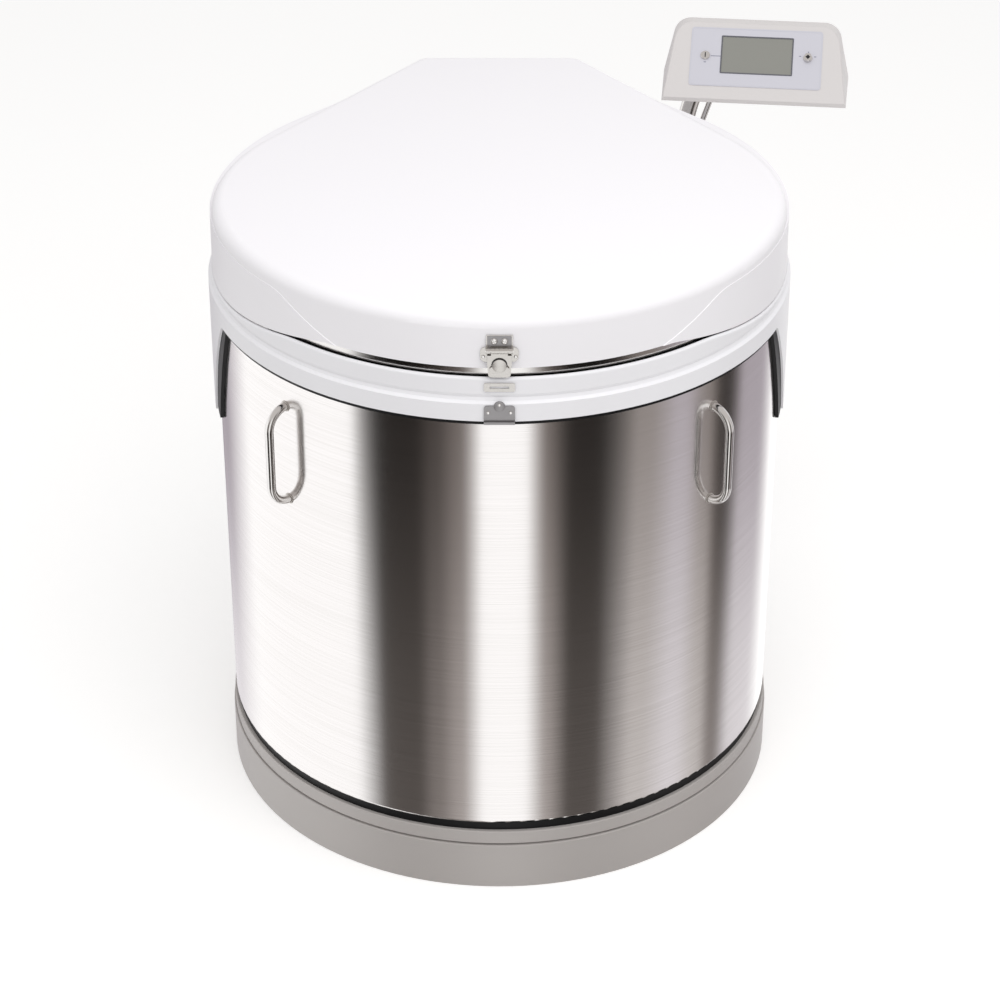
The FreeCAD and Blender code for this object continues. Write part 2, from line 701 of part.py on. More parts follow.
def make_rack_platform():
    bottom = PLATFORM_Z - PLATFORM_PLATE
    plate = disc(PLATFORM_RADIUS, bottom, PLATFORM_Z)
    reach = math.ceil(PLATFORM_RADIUS / PLATFORM_PITCH)
    rows = range(-reach, reach + 1)
    holes = []
    for row in rows:
        for column in rows:
            x = (column + 0.5 * (row % 2)) * PLATFORM_PITCH
            y = row * PLATFORM_PITCH * math.sqrt(0.75)
            if math.hypot(x, y) < PLATFORM_RADIUS - 2 * PLATFORM_HOLE_RADIUS:
                holes.append(disc(PLATFORM_HOLE_RADIUS, bottom - OVERCUT, PLATFORM_Z + OVERCUT, x, y))
    plate = plate.cut(group(holes))
    for index in range(4):
        foot = bearing(45 + 90 * index) * (PLATFORM_RADIUS - 3 * PLATFORM_LEG_RADIUS)
        plate = plate.fuse(disc(PLATFORM_LEG_RADIUS, CHAMBER_Z, bottom + FUSE, foot.x, foot.y))
    return plate.removeSplitter()


def make_probe_tube():
    top = NECK_TOP - PROBE_DROP
    body = disc(PROBE_RADIUS, PLATFORM_Z, top, 0, PROBE_Y)
    bore = disc(PROBE_RADIUS - PROBE_WALL, PLATFORM_Z + PROBE_FLOOR, top + OVERCUT, 0, PROBE_Y)
    return body.cut(bore)


def make_vacuum_port():
    """The capped pump-out port low on the jacket's rear."""
    start = V(0, JACKET_RADIUS + SEAT_GAP, JACKET_Z + PORT_RISE)
    cap_start = start + Y_AXIS * PORT_STEM
    cap_end = cap_start + Y_AXIS * PORT_CAP
    stem = cylinder(PORT_RADIUS, start, cap_start)
    cap = cylinder(PORT_CAP_RADIUS, cap_start, cap_end)
    cap = cap.makeFillet(PORT_ROUND, edges_where(cap, lambda edge: edge.BoundBox.YMin > cap_end.y - TOUCH))
    return stem.fuse(cap).removeSplitter()


def make_handle(side):
    way = bearing(side * HANDLE_BEARING)
    foot = JACKET_RADIUS
    out = foot + HANDLE_STANDOFF
    high = HANDLE_TOP
    low = HANDLE_TOP - HANDLE_SPAN
    r = HANDLE_STANDOFF
    slant = r * (1 - math.sqrt(0.5))

    def at(radius, z):
        return way * radius + Z_AXIS * z

    wire = Part.Wire([
        Part.Arc(at(foot, high), at(out - slant, high - slant), at(out, high - r)).toShape(),
        Part.LineSegment(at(out, high - r), at(out, low + r)).toShape(),
        Part.Arc(at(out, low + r), at(out - slant, low + slant), at(foot, low)).toShape(),
    ])
    return swept_rod(wire, HANDLE_ROD)


# Shroud: two-tier collar and rear apron in one moulding, with its edge trim

def make_shroud():
    lower = extrude_plan(shroud_plan(TIER_OUT, APRON_BOTTOM, TIER_IN), COLLAR_LEDGE - APRON_BOTTOM)
    lower = lower.cut(ahead_of(tuple(zip(APRON_Y, APRON_Z)), COLLAR_BOTTOM, APRON_CORNER))
    levels = list(zip((TIER_OUT, GROOVE_SLOPE, GROOVE_OUT, TIER_IN), (COLLAR_LEDGE,) + GROOVE_Z))
    body = lower
    for (offset_a, z_a), (offset_b, z_b) in zip(levels, levels[1:]):
        rings = [shroud_plan(offset_a, z_a, TIER_IN), shroud_plan(offset_b, z_b, TIER_IN)]
        body = body.fuse(Part.makeLoft(rings, True, True))
    top_z = GROOVE_Z[-1]
    upper = extrude_plan(shroud_plan(TIER_IN, top_z), COLLAR_TOP + OVERCUT - top_z)
    upper = upper.common(below_parting(COLLAR_TOP, COLLAR_REAR, PARTING_ARC, PARTING_TURN_SHROUD))
    rim = edges_where(upper, lambda edge: edge.BoundBox.ZMin > top_z + TOUCH)
    upper = upper.makeFillet(COLLAR_ROUND, rim)
    body = body.fuse(upper)
    low = APRON_BOTTOM - OVERCUT
    cavity = shroud_plan(TIER_OUT - SHROUD_WALL, low, TIER_IN - SHROUD_WALL)
    body = body.cut(extrude_plan(cavity, COLLAR_LEDGE - low))
    room = shroud_plan(GROOVE_OUT - SHROUD_WALL, COLLAR_LEDGE - SHELF)
    body = body.cut(extrude_plan(room, COLLAR_REAR - COLLAR_LEDGE))
    body = body.cut(disc(JACKET_RADIUS + SEAT_GAP, low, COLLAR_TOP + OVERCUT))
    half = PANEL_HALF - PANEL_OPENING_INSET
    z0, z1 = PANEL_Z
    opening = block(-half, half, JACKET_RADIUS + OVERCUT, SHROUD_BACK + OVERCUT,
                    z0 + PANEL_OPENING_INSET, z1 - PANEL_OPENING_INSET)
    return body.cut(opening).removeSplitter()


def make_shroud_trim():
    """Black edging: a band under the collar and a strip down each side of the apron."""
    low, high = APRON_BOTTOM, COLLAR_BOTTOM
    sheet = extrude_plan(shroud_plan(TRIM_OUT, low), high - low)
    sheet = sheet.cut(disc(JACKET_RADIUS + SEAT_GAP, low - OVERCUT, high + OVERCUT))
    tucked = [(y + TRIM_TUCK, z) for y, z in zip(APRON_Y, APRON_Z)]
    band = sheet.common(block(-FAR, FAR, -FAR, tucked[0][0], high - TRIM_HEIGHT, high))
    strips = sheet.cut(ahead_of(tuple(zip(TRIM_Y, TRIM_Z)), high - TRIM_HEIGHT, TRIM_CORNER))
    strips = strips.common(ahead_of(tucked, high, 0))
    return band.fuse(strips).removeSplitter()


# Rear service panel, hinge support and plumbing

def make_rear_panel():
    z0, z1 = PANEL_Z
    face = SHROUD_BACK + PANEL_SHEET
    plate = block(-PANEL_HALF, PANEL_HALF, SHROUD_BACK, face, z0, z1)
    plate = plate.makeFillet(PANEL_CORNER, edges_where(plate, across))
    cuts = []
    for x, radius in ((INLET_X, INLET_RADIUS), (VENT_X, VENT_PIPE_RADIUS)):
        start = V(x, SHROUD_BACK - OVERCUT, PIPE_Z)
        cuts.append(cylinder(radius + PANEL_HOLE_GAP, start, V(x, face + OVERCUT, PIPE_Z)))
    length, width, pitch = PANEL_SLOT
    for index in range(PANEL_SLOTS):
        z = z1 - PANEL_SLOT_DROP - index * pitch
        slot = block(-length / 2, length / 2, SHROUD_BACK - OVERCUT, face + OVERCUT,
                     z - width / 2, z + width / 2)
        cuts.append(slot.makeFillet(PANEL_SLOT_ROUND, edges_where(slot, across)))
    return plate.cut(group(cuts))


def make_panel_screws():
    heads = []
    for x in (-1, 1):
        for z in (PANEL_Z[0] + PANEL_SCREW_INSET, PANEL_Z[1] - PANEL_SCREW_INSET):
            at = V(x * (PANEL_HALF - PANEL_SCREW_INSET), SHROUD_BACK + PANEL_SHEET, z)
            heads.append(dome(SCREW_HEAD_RADIUS, SCREW_HEAD_HEIGHT, at, Y_AXIS))
    return group(heads)


def make_hinge_frame():
    """Steel angle behind the shroud's back that carries the hinges from the jacket."""
    back = SHROUD_BACK - SHROUD_WALL
    front = JACKET_RADIUS - HINGE_FRAME_DEEP
    z1 = HINGE_FRAME_TOP
    z0 = z1 - HINGE_FRAME_HEIGHT
    half = HINGE_FRAME_HALF
    plate = HINGE_FRAME_PLATE
    body = block(-half, half, back - plate, back, z0, z1)
    for x in (-half, -plate / 2, half - plate):
        body = body.fuse(block(x, x + plate, front, back, z0, z1))
    body = body.fuse(block(-half, half, front, back, z0, z0 + plate))
    return body.cut(disc(JACKET_RADIUS + SEAT_GAP, z0 - OVERCUT, z1 + OVERCUT)).removeSplitter()


def seat_on_jacket(x, radius):
    """Where a straight pipe beside the tank's axis first stands clear of the jacket."""
    return math.sqrt(JACKET_RADIUS ** 2 - (abs(x) - radius) ** 2) + SEAT_GAP


def make_fill_valve():
    back = JACKET_RADIUS + VALVE_BACK
    half = VALVE_BLOCK / 2
    body = block(INLET_X - half, INLET_X + half, back, back + VALVE_BLOCK, PIPE_Z - half, PIPE_Z + half)
    body = body.makeFillet(VALVE_ROUND, edges_where(body, lambda edge: edge.BoundBox.ZLength > half))
    coil = disc(COIL_RADIUS, PIPE_Z + half, PIPE_Z + half + COIL_HEIGHT, INLET_X, back + half)
    return body.fuse(coil).removeSplitter()


def make_fill_pipe():
    start = V(INLET_X, seat_on_jacket(INLET_X, PIPE_RADIUS), PIPE_Z)
    return cylinder(PIPE_RADIUS, start, V(INLET_X, JACKET_RADIUS + VALVE_BACK, PIPE_Z))


def make_fill_inlet():
    face = SHROUD_BACK + PANEL_SHEET
    start = V(INLET_X, JACKET_RADIUS + VALVE_BACK + VALVE_BLOCK, PIPE_Z)
    end = V(INLET_X, face + INLET_REACH, PIPE_Z)
    stem = cylinder(INLET_RADIUS, start, end)
    nut_start, nut_length = INLET_NUT
    corners = []
    for index in range(6):
        angle = math.radians(60 * index)
        x, z = INLET_X + INLET_HEX * math.cos(angle), PIPE_Z + INLET_HEX * math.sin(angle)
        corners.append(V(x, face + nut_start, z))
    nut = prism(corners, Y_AXIS * nut_length)
    narrowing, length = INLET_CONE
    cone = Part.makeCone(INLET_RADIUS, INLET_RADIUS - narrowing, length, end, Y_AXIS)
    tip = end + Y_AXIS * length
    bore = cylinder(INLET_BORE, tip - Y_AXIS * INLET_BORE_DEPTH, tip + Y_AXIS * OVERCUT)
    return stem.fuse(nut).fuse(cone).cut(bore).removeSplitter()


def make_vent_pipe():
    start_y = seat_on_jacket(VENT_X, VENT_PIPE_RADIUS)
    out = SHROUD_BACK + PANEL_SHEET + VENT_REACH
    bend = VENT_BEND
    slant = bend * (1 - math.sqrt(0.5))
    z = PIPE_Z
    mouth = V(VENT_X, out + bend, z - bend - VENT_TAIL)
    wire = Part.Wire([
        Part.LineSegment(V(VENT_X, start_y, z), V(VENT_X, out, z)).toShape(),
        Part.Arc(V(VENT_X, out, z), V(VENT_X, out + bend - slant, z - slant),
                 V(VENT_X, out + bend, z - bend)).toShape(),
        Part.LineSegment(V(VENT_X, out + bend, z - bend), mouth).toShape(),
    ])
    body = swept_rod(wire, VENT_PIPE_RADIUS)
    bore = cylinder(VENT_PIPE_RADIUS - VENT_PIPE_WALL, mouth - Z_AXIS * OVERCUT, mouth + Z_AXIS * VENT_BORE)
    return body.cut(bore)


# Lid: moulded shell, foam, polished pan with the plug, gasket and rear liner

def skirt_lean(z):
    """How far the lid's skirt leans in at one height."""
    return SKIRT_DRAFT * (z - LID_EDGE_REAR) / (CREASE_Z - LID_EDGE_REAR)


def lid_form(inset, low, top, rounding):
    """The lid's outer form, moved inwards by inset, from low to top."""
    crown = extrude_plan(lid_plan(-inset, low), top - low)
    crown = crown.makeFillet(rounding, edges_where(crown, flat_at(top)))
    levels = (low, CREASE_Z + OVERCUT)
    rings = [shroud_plan(-inset - skirt_lean(z), z, -inset) for z in levels]
    skirt = Part.makeLoft(rings, True, True)
    return crown.fuse(skirt.common(below_crease(inset, low)))


def make_lid_shell():
    low = LID_EDGE_REAR - OVERCUT
    outer = lid_form(0, LID_EDGE_REAR, LID_TOP, LID_ROUND)
    arc = PARTING_ARC - PARTING_GAP
    outer = outer.cut(below_parting(LID_EDGE_FRONT, LID_EDGE_REAR, arc, PARTING_TURN_LID))
    inner = lid_form(LID_WALL, low, LID_TOP - LID_WALL, LID_ROUND - LID_WALL)
    neck_room = disc(REAR_LINER_RADIUS, low, NECK_TOP + NECK_CLEARANCE)
    return outer.cut(inner).cut(neck_room).removeSplitter()


def make_lid_pan():
    top = PAN_Z + PAN_SHEET
    foot = PAN_Z - PLUG_DEPTH
    narrow = PLUG_RADIUS - PLUG_TAPER
    return revolve([
        (PAN_RADIUS, PAN_Z + PAN_RIM), (PAN_RADIUS, PAN_Z), (PLUG_RADIUS, PAN_Z), (narrow, foot), (0, foot),
        (0, foot + PAN_SHEET), (narrow - PAN_SHEET, foot + PAN_SHEET), (PLUG_RADIUS - PAN_SHEET, top),
        (PAN_RADIUS - PAN_SHEET, top), (PAN_RADIUS - PAN_SHEET, PAN_Z + PAN_RIM),
    ])


def make_lid_foam():
    inset = LID_WALL + SEAT_GAP
    low = LID_EDGE_REAR + REAR_LINER_RISE + REAR_LINER_SHEET + SEAT_GAP
    form = lid_form(inset, low, LID_TOP - inset, LID_ROUND - inset)
    rim_top = PAN_Z + PAN_RIM + SEAT_GAP
    floor = PAN_Z + PAN_SHEET + SEAT_GAP
    body = form.cut(block(-FAR, FAR, -FAR, FAR, low - OVERCUT, rim_top))
    inner = PAN_RADIUS - PAN_SHEET - SEAT_GAP
    body = body.fuse(disc(inner, floor, rim_top + FUSE).common(form))
    rear = form.common(block(-FAR, FAR, REAR_LINER_Y, FAR, low, rim_top + FUSE))
    wall = REAR_LINER_RADIUS + REAR_LINER_SHEET + SEAT_GAP
    body = body.fuse(rear.cut(disc(wall, low - OVERCUT, rim_top)))
    foot = floor - PLUG_DEPTH
    wide = PLUG_RADIUS - PAN_SHEET - SEAT_GAP
    plug = revolve([(0, foot), (wide - PLUG_TAPER, foot), (wide, PAN_Z + PAN_SHEET), (wide, floor + FUSE),
                    (0, floor + FUSE)])
    return body.fuse(plug).removeSplitter()


def make_lid_gasket():
    outer = PAN_RADIUS - GASKET_IN
    z0 = NECK_TOP + SEAT_GAP
    body = tube(outer, outer - GASKET_WIDTH, z0, PAN_Z)
    return body.makeFillet(GASKET_ROUND, edges_where(body, flat_at(z0)))


def make_lid_rear_liner():
    """Closing plate behind the pan, stepped up over the tank's neck."""
    sheet = REAR_LINER_SHEET
    z0 = LID_EDGE_REAR + REAR_LINER_RISE
    step_z = PAN_Z + REAR_LINER_STEP
    inner = REAR_LINER_RADIUS
    inset = LID_WALL + SEAT_GAP
    plate = extrude_plan(shroud_plan(-inset - skirt_lean(z0 + sheet), z0), sheet)
    plate = plate.cut(disc(inner, z0 - OVERCUT, z0 + sheet + OVERCUT))
    step = tube(inner + sheet, inner, z0, step_z + sheet)
    step = step.fuse(tube(inner + sheet, PAN_RADIUS + SEAT_GAP, step_z, step_z + sheet))
    room = extrude_plan(shroud_plan(-inset - skirt_lean(step_z + sheet), z0), step_z + sheet - z0)
    body = plate.fuse(step.common(room))
    ahead = block(-FAR, FAR, -FAR, REAR_LINER_Y, z0 - OVERCUT, step_z + sheet + OVERCUT)
    return body.cut(ahead).removeSplitter()


# Hinges: fixed leaf with the outer knuckles, moving leaf with the middle one

def knuckle(x0, x1):
    return cylinder(KNUCKLE_RADIUS, V(x0, HINGE_Y, HINGE_Z), V(x1, HINGE_Y, HINGE_Z))


def hinge_bore(x0, x1):
    radius = HINGE_PIN_RADIUS + RUN_GAP
    return cylinder(radius, V(x0 - OVERCUT, HINGE_Y, HINGE_Z), V(x1 + OVERCUT, HINGE_Y, HINGE_Z))


def knuckle_spans(centre):
    third = HINGE_WIDTH / 3
    left = centre - HINGE_WIDTH / 2
    return [(left, left + third), (left + third + KNUCKLE_GAP, left + 2 * third - KNUCKLE_GAP),
            (left + 2 * third, left + HINGE_WIDTH)]


def make_fixed_leaf(centre):
    spans = knuckle_spans(centre)
    x0, x1 = spans[0][0], spans[2][1]
    top = FIXED_LEAF_TOP
    body = block(x0, x1, SHROUD_BACK, SHROUD_BACK + HINGE_LEAF, top - HINGE_LEAF_HEIGHT, top)
    for a, b in (spans[0], spans[2]):
        body = body.fuse(knuckle(a, b))
        root = block(a, b, SHROUD_BACK, SHROUD_BACK + HINGE_LEAF, top - FUSE, HINGE_Z - KNUCKLE_ROOT)
        body = body.fuse(root)
    return body.cut(hinge_bore(x0, x1)).removeSplitter()


def make_moving_leaf(centre):
    spans = knuckle_spans(centre)
    x0, x1 = spans[0][0], spans[2][1]
    a, b = spans[1]
    bottom = MOVING_LEAF_BOTTOM
    body = block(x0, x1, BACK_Y, BACK_Y + HINGE_LEAF, bottom, bottom + HINGE_LEAF_HEIGHT)
    body = body.fuse(knuckle(a, b))
    body = body.fuse(block(a, b, BACK_Y, HINGE_Y - KNUCKLE_ROOT, HINGE_Z + KNUCKLE_ROOT, bottom + FUSE))
    return body.cut(hinge_bore(x0, x1)).removeSplitter()


def make_hinge_pin(centre):
    half = HINGE_WIDTH / 2 + HINGE_PIN_PROUD
    start, end = V(centre - half, HINGE_Y, HINGE_Z), V(centre + half, HINGE_Y, HINGE_Z)
    return cylinder(HINGE_PIN_RADIUS, start, end)


def make_hinge_screws(face_y, z):
    heads = []
    for centre in (-HINGE_X, HINGE_X):
        for dx in HINGE_SCREW_X:
            heads.append(dome(SCREW_HEAD_RADIUS, SCREW_HEAD_HEIGHT, V(centre + dx, face_y, z), Y_AXIS))
    return group(heads)


# Front latch

def front_block(half, z0, z1, back, thick):
    """A plate on the front, its back at y = back and standing out towards -Y."""
    return block(-half, half, back - thick, back, z0, z1)


def latch_pin(half, radius):
    """A round body on the hasp's axis."""
    return cylinder(radius, V(-half, LATCH_AXIS_Y, LATCH_AXIS_Z), V(half, LATCH_AXIS_Y, LATCH_AXIS_Z))


def make_latch_bracket():
    back = LATCH_FACE
    thick = LATCH_PLATE
    wing_top = LID_EDGE_FRONT + LATCH_WING[1]
    body = front_block(LATCH_HALF, LATCH_WING_Z + LATCH_FOOT, LID_EDGE_FRONT + LATCH_TOP, back, thick)
    wings = front_block(LATCH_WING_HALF, LATCH_WING_Z, wing_top, back, thick)
    body = body.fuse(wings.makeFillet(LATCH_WING_CORNER, edges_where(wings, across)))
    radius = LATCH_BARREL_RADIUS
    for side in (-1, 1):
        a, b = sorted((side * LATCH_HALF, side * (LATCH_HALF - LATCH_EAR)))
        start = V(a, LATCH_AXIS_Y, LATCH_AXIS_Z)
        body = body.fuse(cylinder(radius, start, V(b, LATCH_AXIS_Y, LATCH_AXIS_Z)))
        body = body.fuse(block(a, b, LATCH_AXIS_Y, back, LATCH_AXIS_Z, LATCH_AXIS_Z + radius))
    return body.cut(latch_pin(LATCH_HALF + OVERCUT, LATCH_PIN_RADIUS + RUN_GAP)).removeSplitter()


def make_hasp():
    half = LATCH_HALF - LATCH_EAR - KNUCKLE_GAP
    radius = LATCH_BARREL_RADIUS
    body = latch_pin(half, radius)
    place, groove, depth = LATCH_COIL
    for x in (-half * place, 0, half * place):
        ring = latch_pin(groove, radius + OVERCUT).cut(latch_pin(2 * groove, radius - depth))
        ring.translate(X_AXIS * x)
        body = body.cut(ring)
    front = LATCH_AXIS_Y - LATCH_TONGUE_IN
    neck_z = LATCH_AXIS_Z - radius - LATCH_SHOULDER
    right = [
        V(half, front, LATCH_AXIS_Z), V(half, front, neck_z), V(LATCH_TONGUE_HALF, front, neck_z),
        V(LATCH_TONGUE_HALF, front, LATCH_BOSS_Z), V(LATCH_TAB_HALF, front, LATCH_TAB_Z),
    ]
    left = [V(-point.x, point.y, point.z) for point in reversed(right)]
    tongue = prism(right + left, Y_AXIS * -LATCH_TONGUE_SHEET)
    corners = edges_where(tongue, lambda edge: across(edge) and edge.BoundBox.ZMax < LATCH_TAB_Z + TOUCH)
    body = body.fuse(tongue.makeFillet(LATCH_TAB_CORNER, corners))
    face = V(0, front - LATCH_TONGUE_SHEET, LATCH_BOSS_Z)
    body = body.fuse(dome(LATCH_BOSS_RADIUS, LATCH_BOSS_HEIGHT, face, -Y_AXIS))
    return body.cut(latch_pin(LATCH_HALF, LATCH_PIN_RADIUS + RUN_GAP)).removeSplitter()


def make_hasp_pin():
    return latch_pin(LATCH_HALF + LATCH_PIN_PROUD, LATCH_PIN_RADIUS)


def make_latch_screws():
    face = LATCH_FACE - LATCH_PLATE
    z = 0.5 * (LATCH_AXIS_Z + LATCH_BARREL_RADIUS + LID_EDGE_FRONT + LATCH_TOP)
    rivet_z = LATCH_WING_Z + LATCH_RIVET_RISE
    rivet_x = LATCH_WING_HALF - LATCH_RIVET_IN
    heads = []
    for side in (-1, 1):
        at = V(side * LATCH_SCREW_X, face, z)
        heads.append(dome(LATCH_SCREW_RADIUS, LATCH_SCREW_HEIGHT, at, -Y_AXIS))
        heads.append(dome(RIVET_RADIUS, RIVET_HEIGHT, V(side * rivet_x, face, rivet_z), -Y_AXIS))
    return group(heads)


def make_slot_plate():
    back = -(SHROUD_RADIUS + TIER_IN)
    foot = SLOT_PLATE_TOP - SLOT_PLATE_HEIGHT
    body = front_block(KEEPER_HALF, foot, SLOT_PLATE_TOP, back, KEEPER_SHEET)
    body = body.makeFillet(SLOT_PLATE_CORNER, edges_where(body, across))
    middle = foot + SLOT_PLATE_HEIGHT / 2
    share, half = SLOT
    thick = KEEPER_SHEET + 2 * OVERCUT
    slot = front_block(KEEPER_HALF * share, middle - half, middle + half, back + OVERCUT, thick)
    return body.cut(slot)


def make_keeper():
    back = -(SHROUD_RADIUS + TIER_OUT)
    body = front_block(KEEPER_HALF, KEEPER_Z, KEEPER_Z + KEEPER_HEIGHT, back, KEEPER_SHEET)
    top = edges_where(body, lambda edge: across(edge) and edge.BoundBox.ZMin > KEEPER_Z + TOUCH)
    body = body.makeFillet(KEEPER_CORNER, top)
    lip = front_block(KEEPER_HALF, KEEPER_Z - KEEPER_LIP, KEEPER_Z, back, KEEPER_SHEET + KEEPER_LIP_OUT)
    return body.fuse(lip).removeSplitter()


def make_keeper_rivets():
    face = -(SHROUD_RADIUS + TIER_OUT + KEEPER_SHEET)
    z = COLLAR_BOTTOM + RIVET_RISE
    return group([dome(RIVET_RADIUS, RIVET_HEIGHT, V(x, face, z), -Y_AXIS) for x in (-RIVET_X, RIVET_X)])


# Console: sloped-front housing in its own frame, x across, y deep, z up from its bottom front edge

def place_console(shape):
    placed = shape.copy()
    placed.rotate(V(0, 0, 0), Z_AXIS, CONSOLE_YAW)
    placed.translate(CONSOLE_ORIGIN)
    return placed


def console_section(depth, inset, z0, z1):
    """The housing's cross-section, seen from the front, at one depth."""
    half_low = CONSOLE_HALF + CONSOLE_FLARE * depth / CONSOLE_DEPTH - inset - CONSOLE_SIDE_SLOPE * z0
    half_high = half_low - CONSOLE_SIDE_SLOPE * (z1 - z0)
    corner = CONSOLE_CORNER - inset
    lean = math.atan(CONSOLE_SIDE_SLOPE)
    turn = 0.5 * (math.pi / 2 - lean)
    run = corner * math.tan(turn)
    side = V(math.sin(lean), 0, -math.cos(lean))
    high = V(half_high, depth, z1)
    side_end = high + side * run
    top_start = high - X_AXIS * run
    hub = top_start - Z_AXIS * corner
    middle = hub + ((side_end - hub) + (top_start - hub)).normalize() * corner
    low = V(half_low, depth, z0)

    def mirror(point):
        return V(-point.x, point.y, point.z)

    edges = [
        Part.LineSegment(mirror(low), low), Part.LineSegment(low, side_end),
        Part.Arc(side_end, middle, top_start), Part.LineSegment(top_start, mirror(top_start)),
        Part.Arc(mirror(top_start), mirror(middle), mirror(side_end)),
        Part.LineSegment(mirror(side_end), mirror(low)),
    ]
    return Part.Wire([edge.toShape() for edge in edges])


def console_form(inset, front, back):
    z0, z1 = inset, CONSOLE_HEIGHT - inset
    ends = [console_section(depth, inset, z0, z1) for depth in (front, back)]
    body = Part.makeLoft(ends, True, True)
    rise = CONSOLE_HEIGHT - CONSOLE_LIP
    slope = V(0, FACE_DEPTH, rise).normalize()
    inward = V(0, slope.z, -slope.y)
    foot = V(-FAR, 0, CONSOLE_LIP) + inward * inset
    low, high = foot - slope * FAR, foot + slope * FAR
    ahead = prism([low, high, high - inward * FAR, low - inward * FAR], X_AXIS * 2 * FAR)
    return body.cut(ahead)


def face_to_console(shape, up):
    """Move a piece from the sloped face's own frame (x across, y up the face, z out)."""
    rise = CONSOLE_HEIGHT - CONSOLE_LIP
    length = math.hypot(FACE_DEPTH, rise)
    lean = math.degrees(math.atan2(rise, FACE_DEPTH))
    moved = shape.copy()
    moved.rotate(V(0, 0, 0), X_AXIS, lean)
    moved.translate(V(0, FACE_DEPTH * up / length, CONSOLE_LIP + rise * up / length))
    return moved


def face_plate(size, shift, z0, z1, corner):
    half_x, half_y = size[0] / 2, size[1] / 2
    plate = block(shift[0] - half_x, shift[0] + half_x, shift[1] - half_y, shift[1] + half_y, z0, z1)
    if corner:
        upright = edges_where(plate, lambda edge: edge.BoundBox.ZLength > (z1 - z0) / 2)
        plate = plate.makeFillet(corner, upright)
    return plate


def face_pin(shift, radius, z0, z1):
    return cylinder(radius, V(shift[0], shift[1], z0), V(shift[0], shift[1], z1))


def make_console_housing():
    body = console_form(0, 0, CONSOLE_DEPTH)

    def rim(edge):
        middle = edge.valueAt(0.5 * (edge.FirstParameter + edge.LastParameter))
        return middle.y < CONSOLE_DEPTH - FUSE and CONSOLE_LIP + FUSE < middle.z < CONSOLE_HEIGHT - FUSE \
            and edge.BoundBox.YLength < FACE_DEPTH + OVERCUT and edge.BoundBox.ZLength > 2 * CONSOLE_LIP

    body = body.makeFillet(CONSOLE_ROUND, edges_where(body, rim)[:2])
    body = body.cut(console_form(CONSOLE_WALL, CONSOLE_WALL, CONSOLE_DEPTH + OVERCUT))
    reach = CONSOLE_WALL + OVERCUT
    radius = CONTROL_STEM + CONTROL_GAP
    holes = [face_pin(shift, radius, -reach, reach) for shift in (KEY_SHIFT, KNOB_SHIFT)]
    return place_console(body.cut(face_to_console(group(holes), OVERLAY_UP)))


def make_console_back():
    inset = CONSOLE_WALL + SEAT_GAP
    z0, z1 = inset, CONSOLE_HEIGHT - inset
    ends = [console_section(depth, inset, z0, z1) for depth in (CONSOLE_DEPTH - BACK_COVER, CONSOLE_DEPTH)]
    return place_console(Part.makeLoft(ends, True, True))


def make_overlay():
    plate = face_plate(OVERLAY_SIZE, (0, 0), 0, OVERLAY_SHEET, OVERLAY_CORNER)
    window = [size + 2 * SCREEN_GAP for size in SCREEN_SIZE]
    cuts = [face_plate(window, SCREEN_SHIFT, -OVERCUT, OVERCUT, 0)]
    radius = CONTROL_STEM + CONTROL_GAP
    cuts += [face_pin(shift, radius, -OVERCUT, OVERCUT) for shift in (KEY_SHIFT, KNOB_SHIFT)]
    return place_console(face_to_console(plate.cut(group(cuts)), OVERLAY_UP))


def make_screen():
    plate = face_plate(SCREEN_SIZE, SCREEN_SHIFT, 0, SCREEN_SHEET, 0)
    return place_console(face_to_console(plate, OVERLAY_UP))


def control(shift, radius, height, rounding):
    """A round control on the overlay, with the stem that holds it in the housing."""
    body = face_pin(shift, radius, OVERLAY_SHEET + CONTROL_LIFT, height)
    body = body.makeFillet(rounding, edges_where(body, flat_at(height)))
    return body.fuse(face_pin(shift, CONTROL_STEM, -CONTROL_STEM_LENGTH, height / 2))


def make_key_switch():
    body = control(KEY_SHIFT, KEY_RADIUS, KEY_HEIGHT, KEY_ROUND)
    half_width, half_length, depth = KEY_SLOT
    size = (2 * half_width, 2 * half_length)
    slot = face_plate(size, KEY_SHIFT, KEY_HEIGHT - depth, KEY_HEIGHT + OVERCUT, 0)
    return place_console(face_to_console(body.cut(slot), OVERLAY_UP))


def make_selector_knob():
    body = control(KNOB_SHIFT, KNOB_RADIUS, KNOB_HEIGHT, KNOB_ROUND)
    x, y = KNOB_SHIFT
    wide = 2 * KNOB_RADIUS
    foot = OVERLAY_SHEET + KNOB_FOOT
    for side in (-1, 1):
        at = (x + side * (KNOB_GRIP + wide / 2), y)
        body = body.cut(face_plate((wide, 2 * wide), at, foot, KNOB_HEIGHT + OVERCUT, 0))
    return place_console(face_to_console(body, OVERLAY_UP))


def make_console_screws():
    """Flat-headed screws of the back cover, with a chamfered edge."""
    heads = []
    levels = (CONSOLE_SCREW_INSET, CONSOLE_HEIGHT - CONSOLE_SCREW_INSET)
    for x, z in zip(CONSOLE_SCREW_X, levels):
        for side in (-1, 1):
            at = V(side * x, CONSOLE_DEPTH, z)
            end = at + Y_AXIS * CONSOLE_SCREW_HEIGHT
            head = cylinder(CONSOLE_SCREW_RADIUS, at, end)
            rim = edges_where(head, lambda edge: edge.BoundBox.YMin > end.y - TOUCH)
            heads.append(head.makeChamfer(CONSOLE_SCREW_CHAMFER, rim))
    return place_console(group(heads))


# Arm: wall bracket with its socket, bent post, flange and the wiring conduit

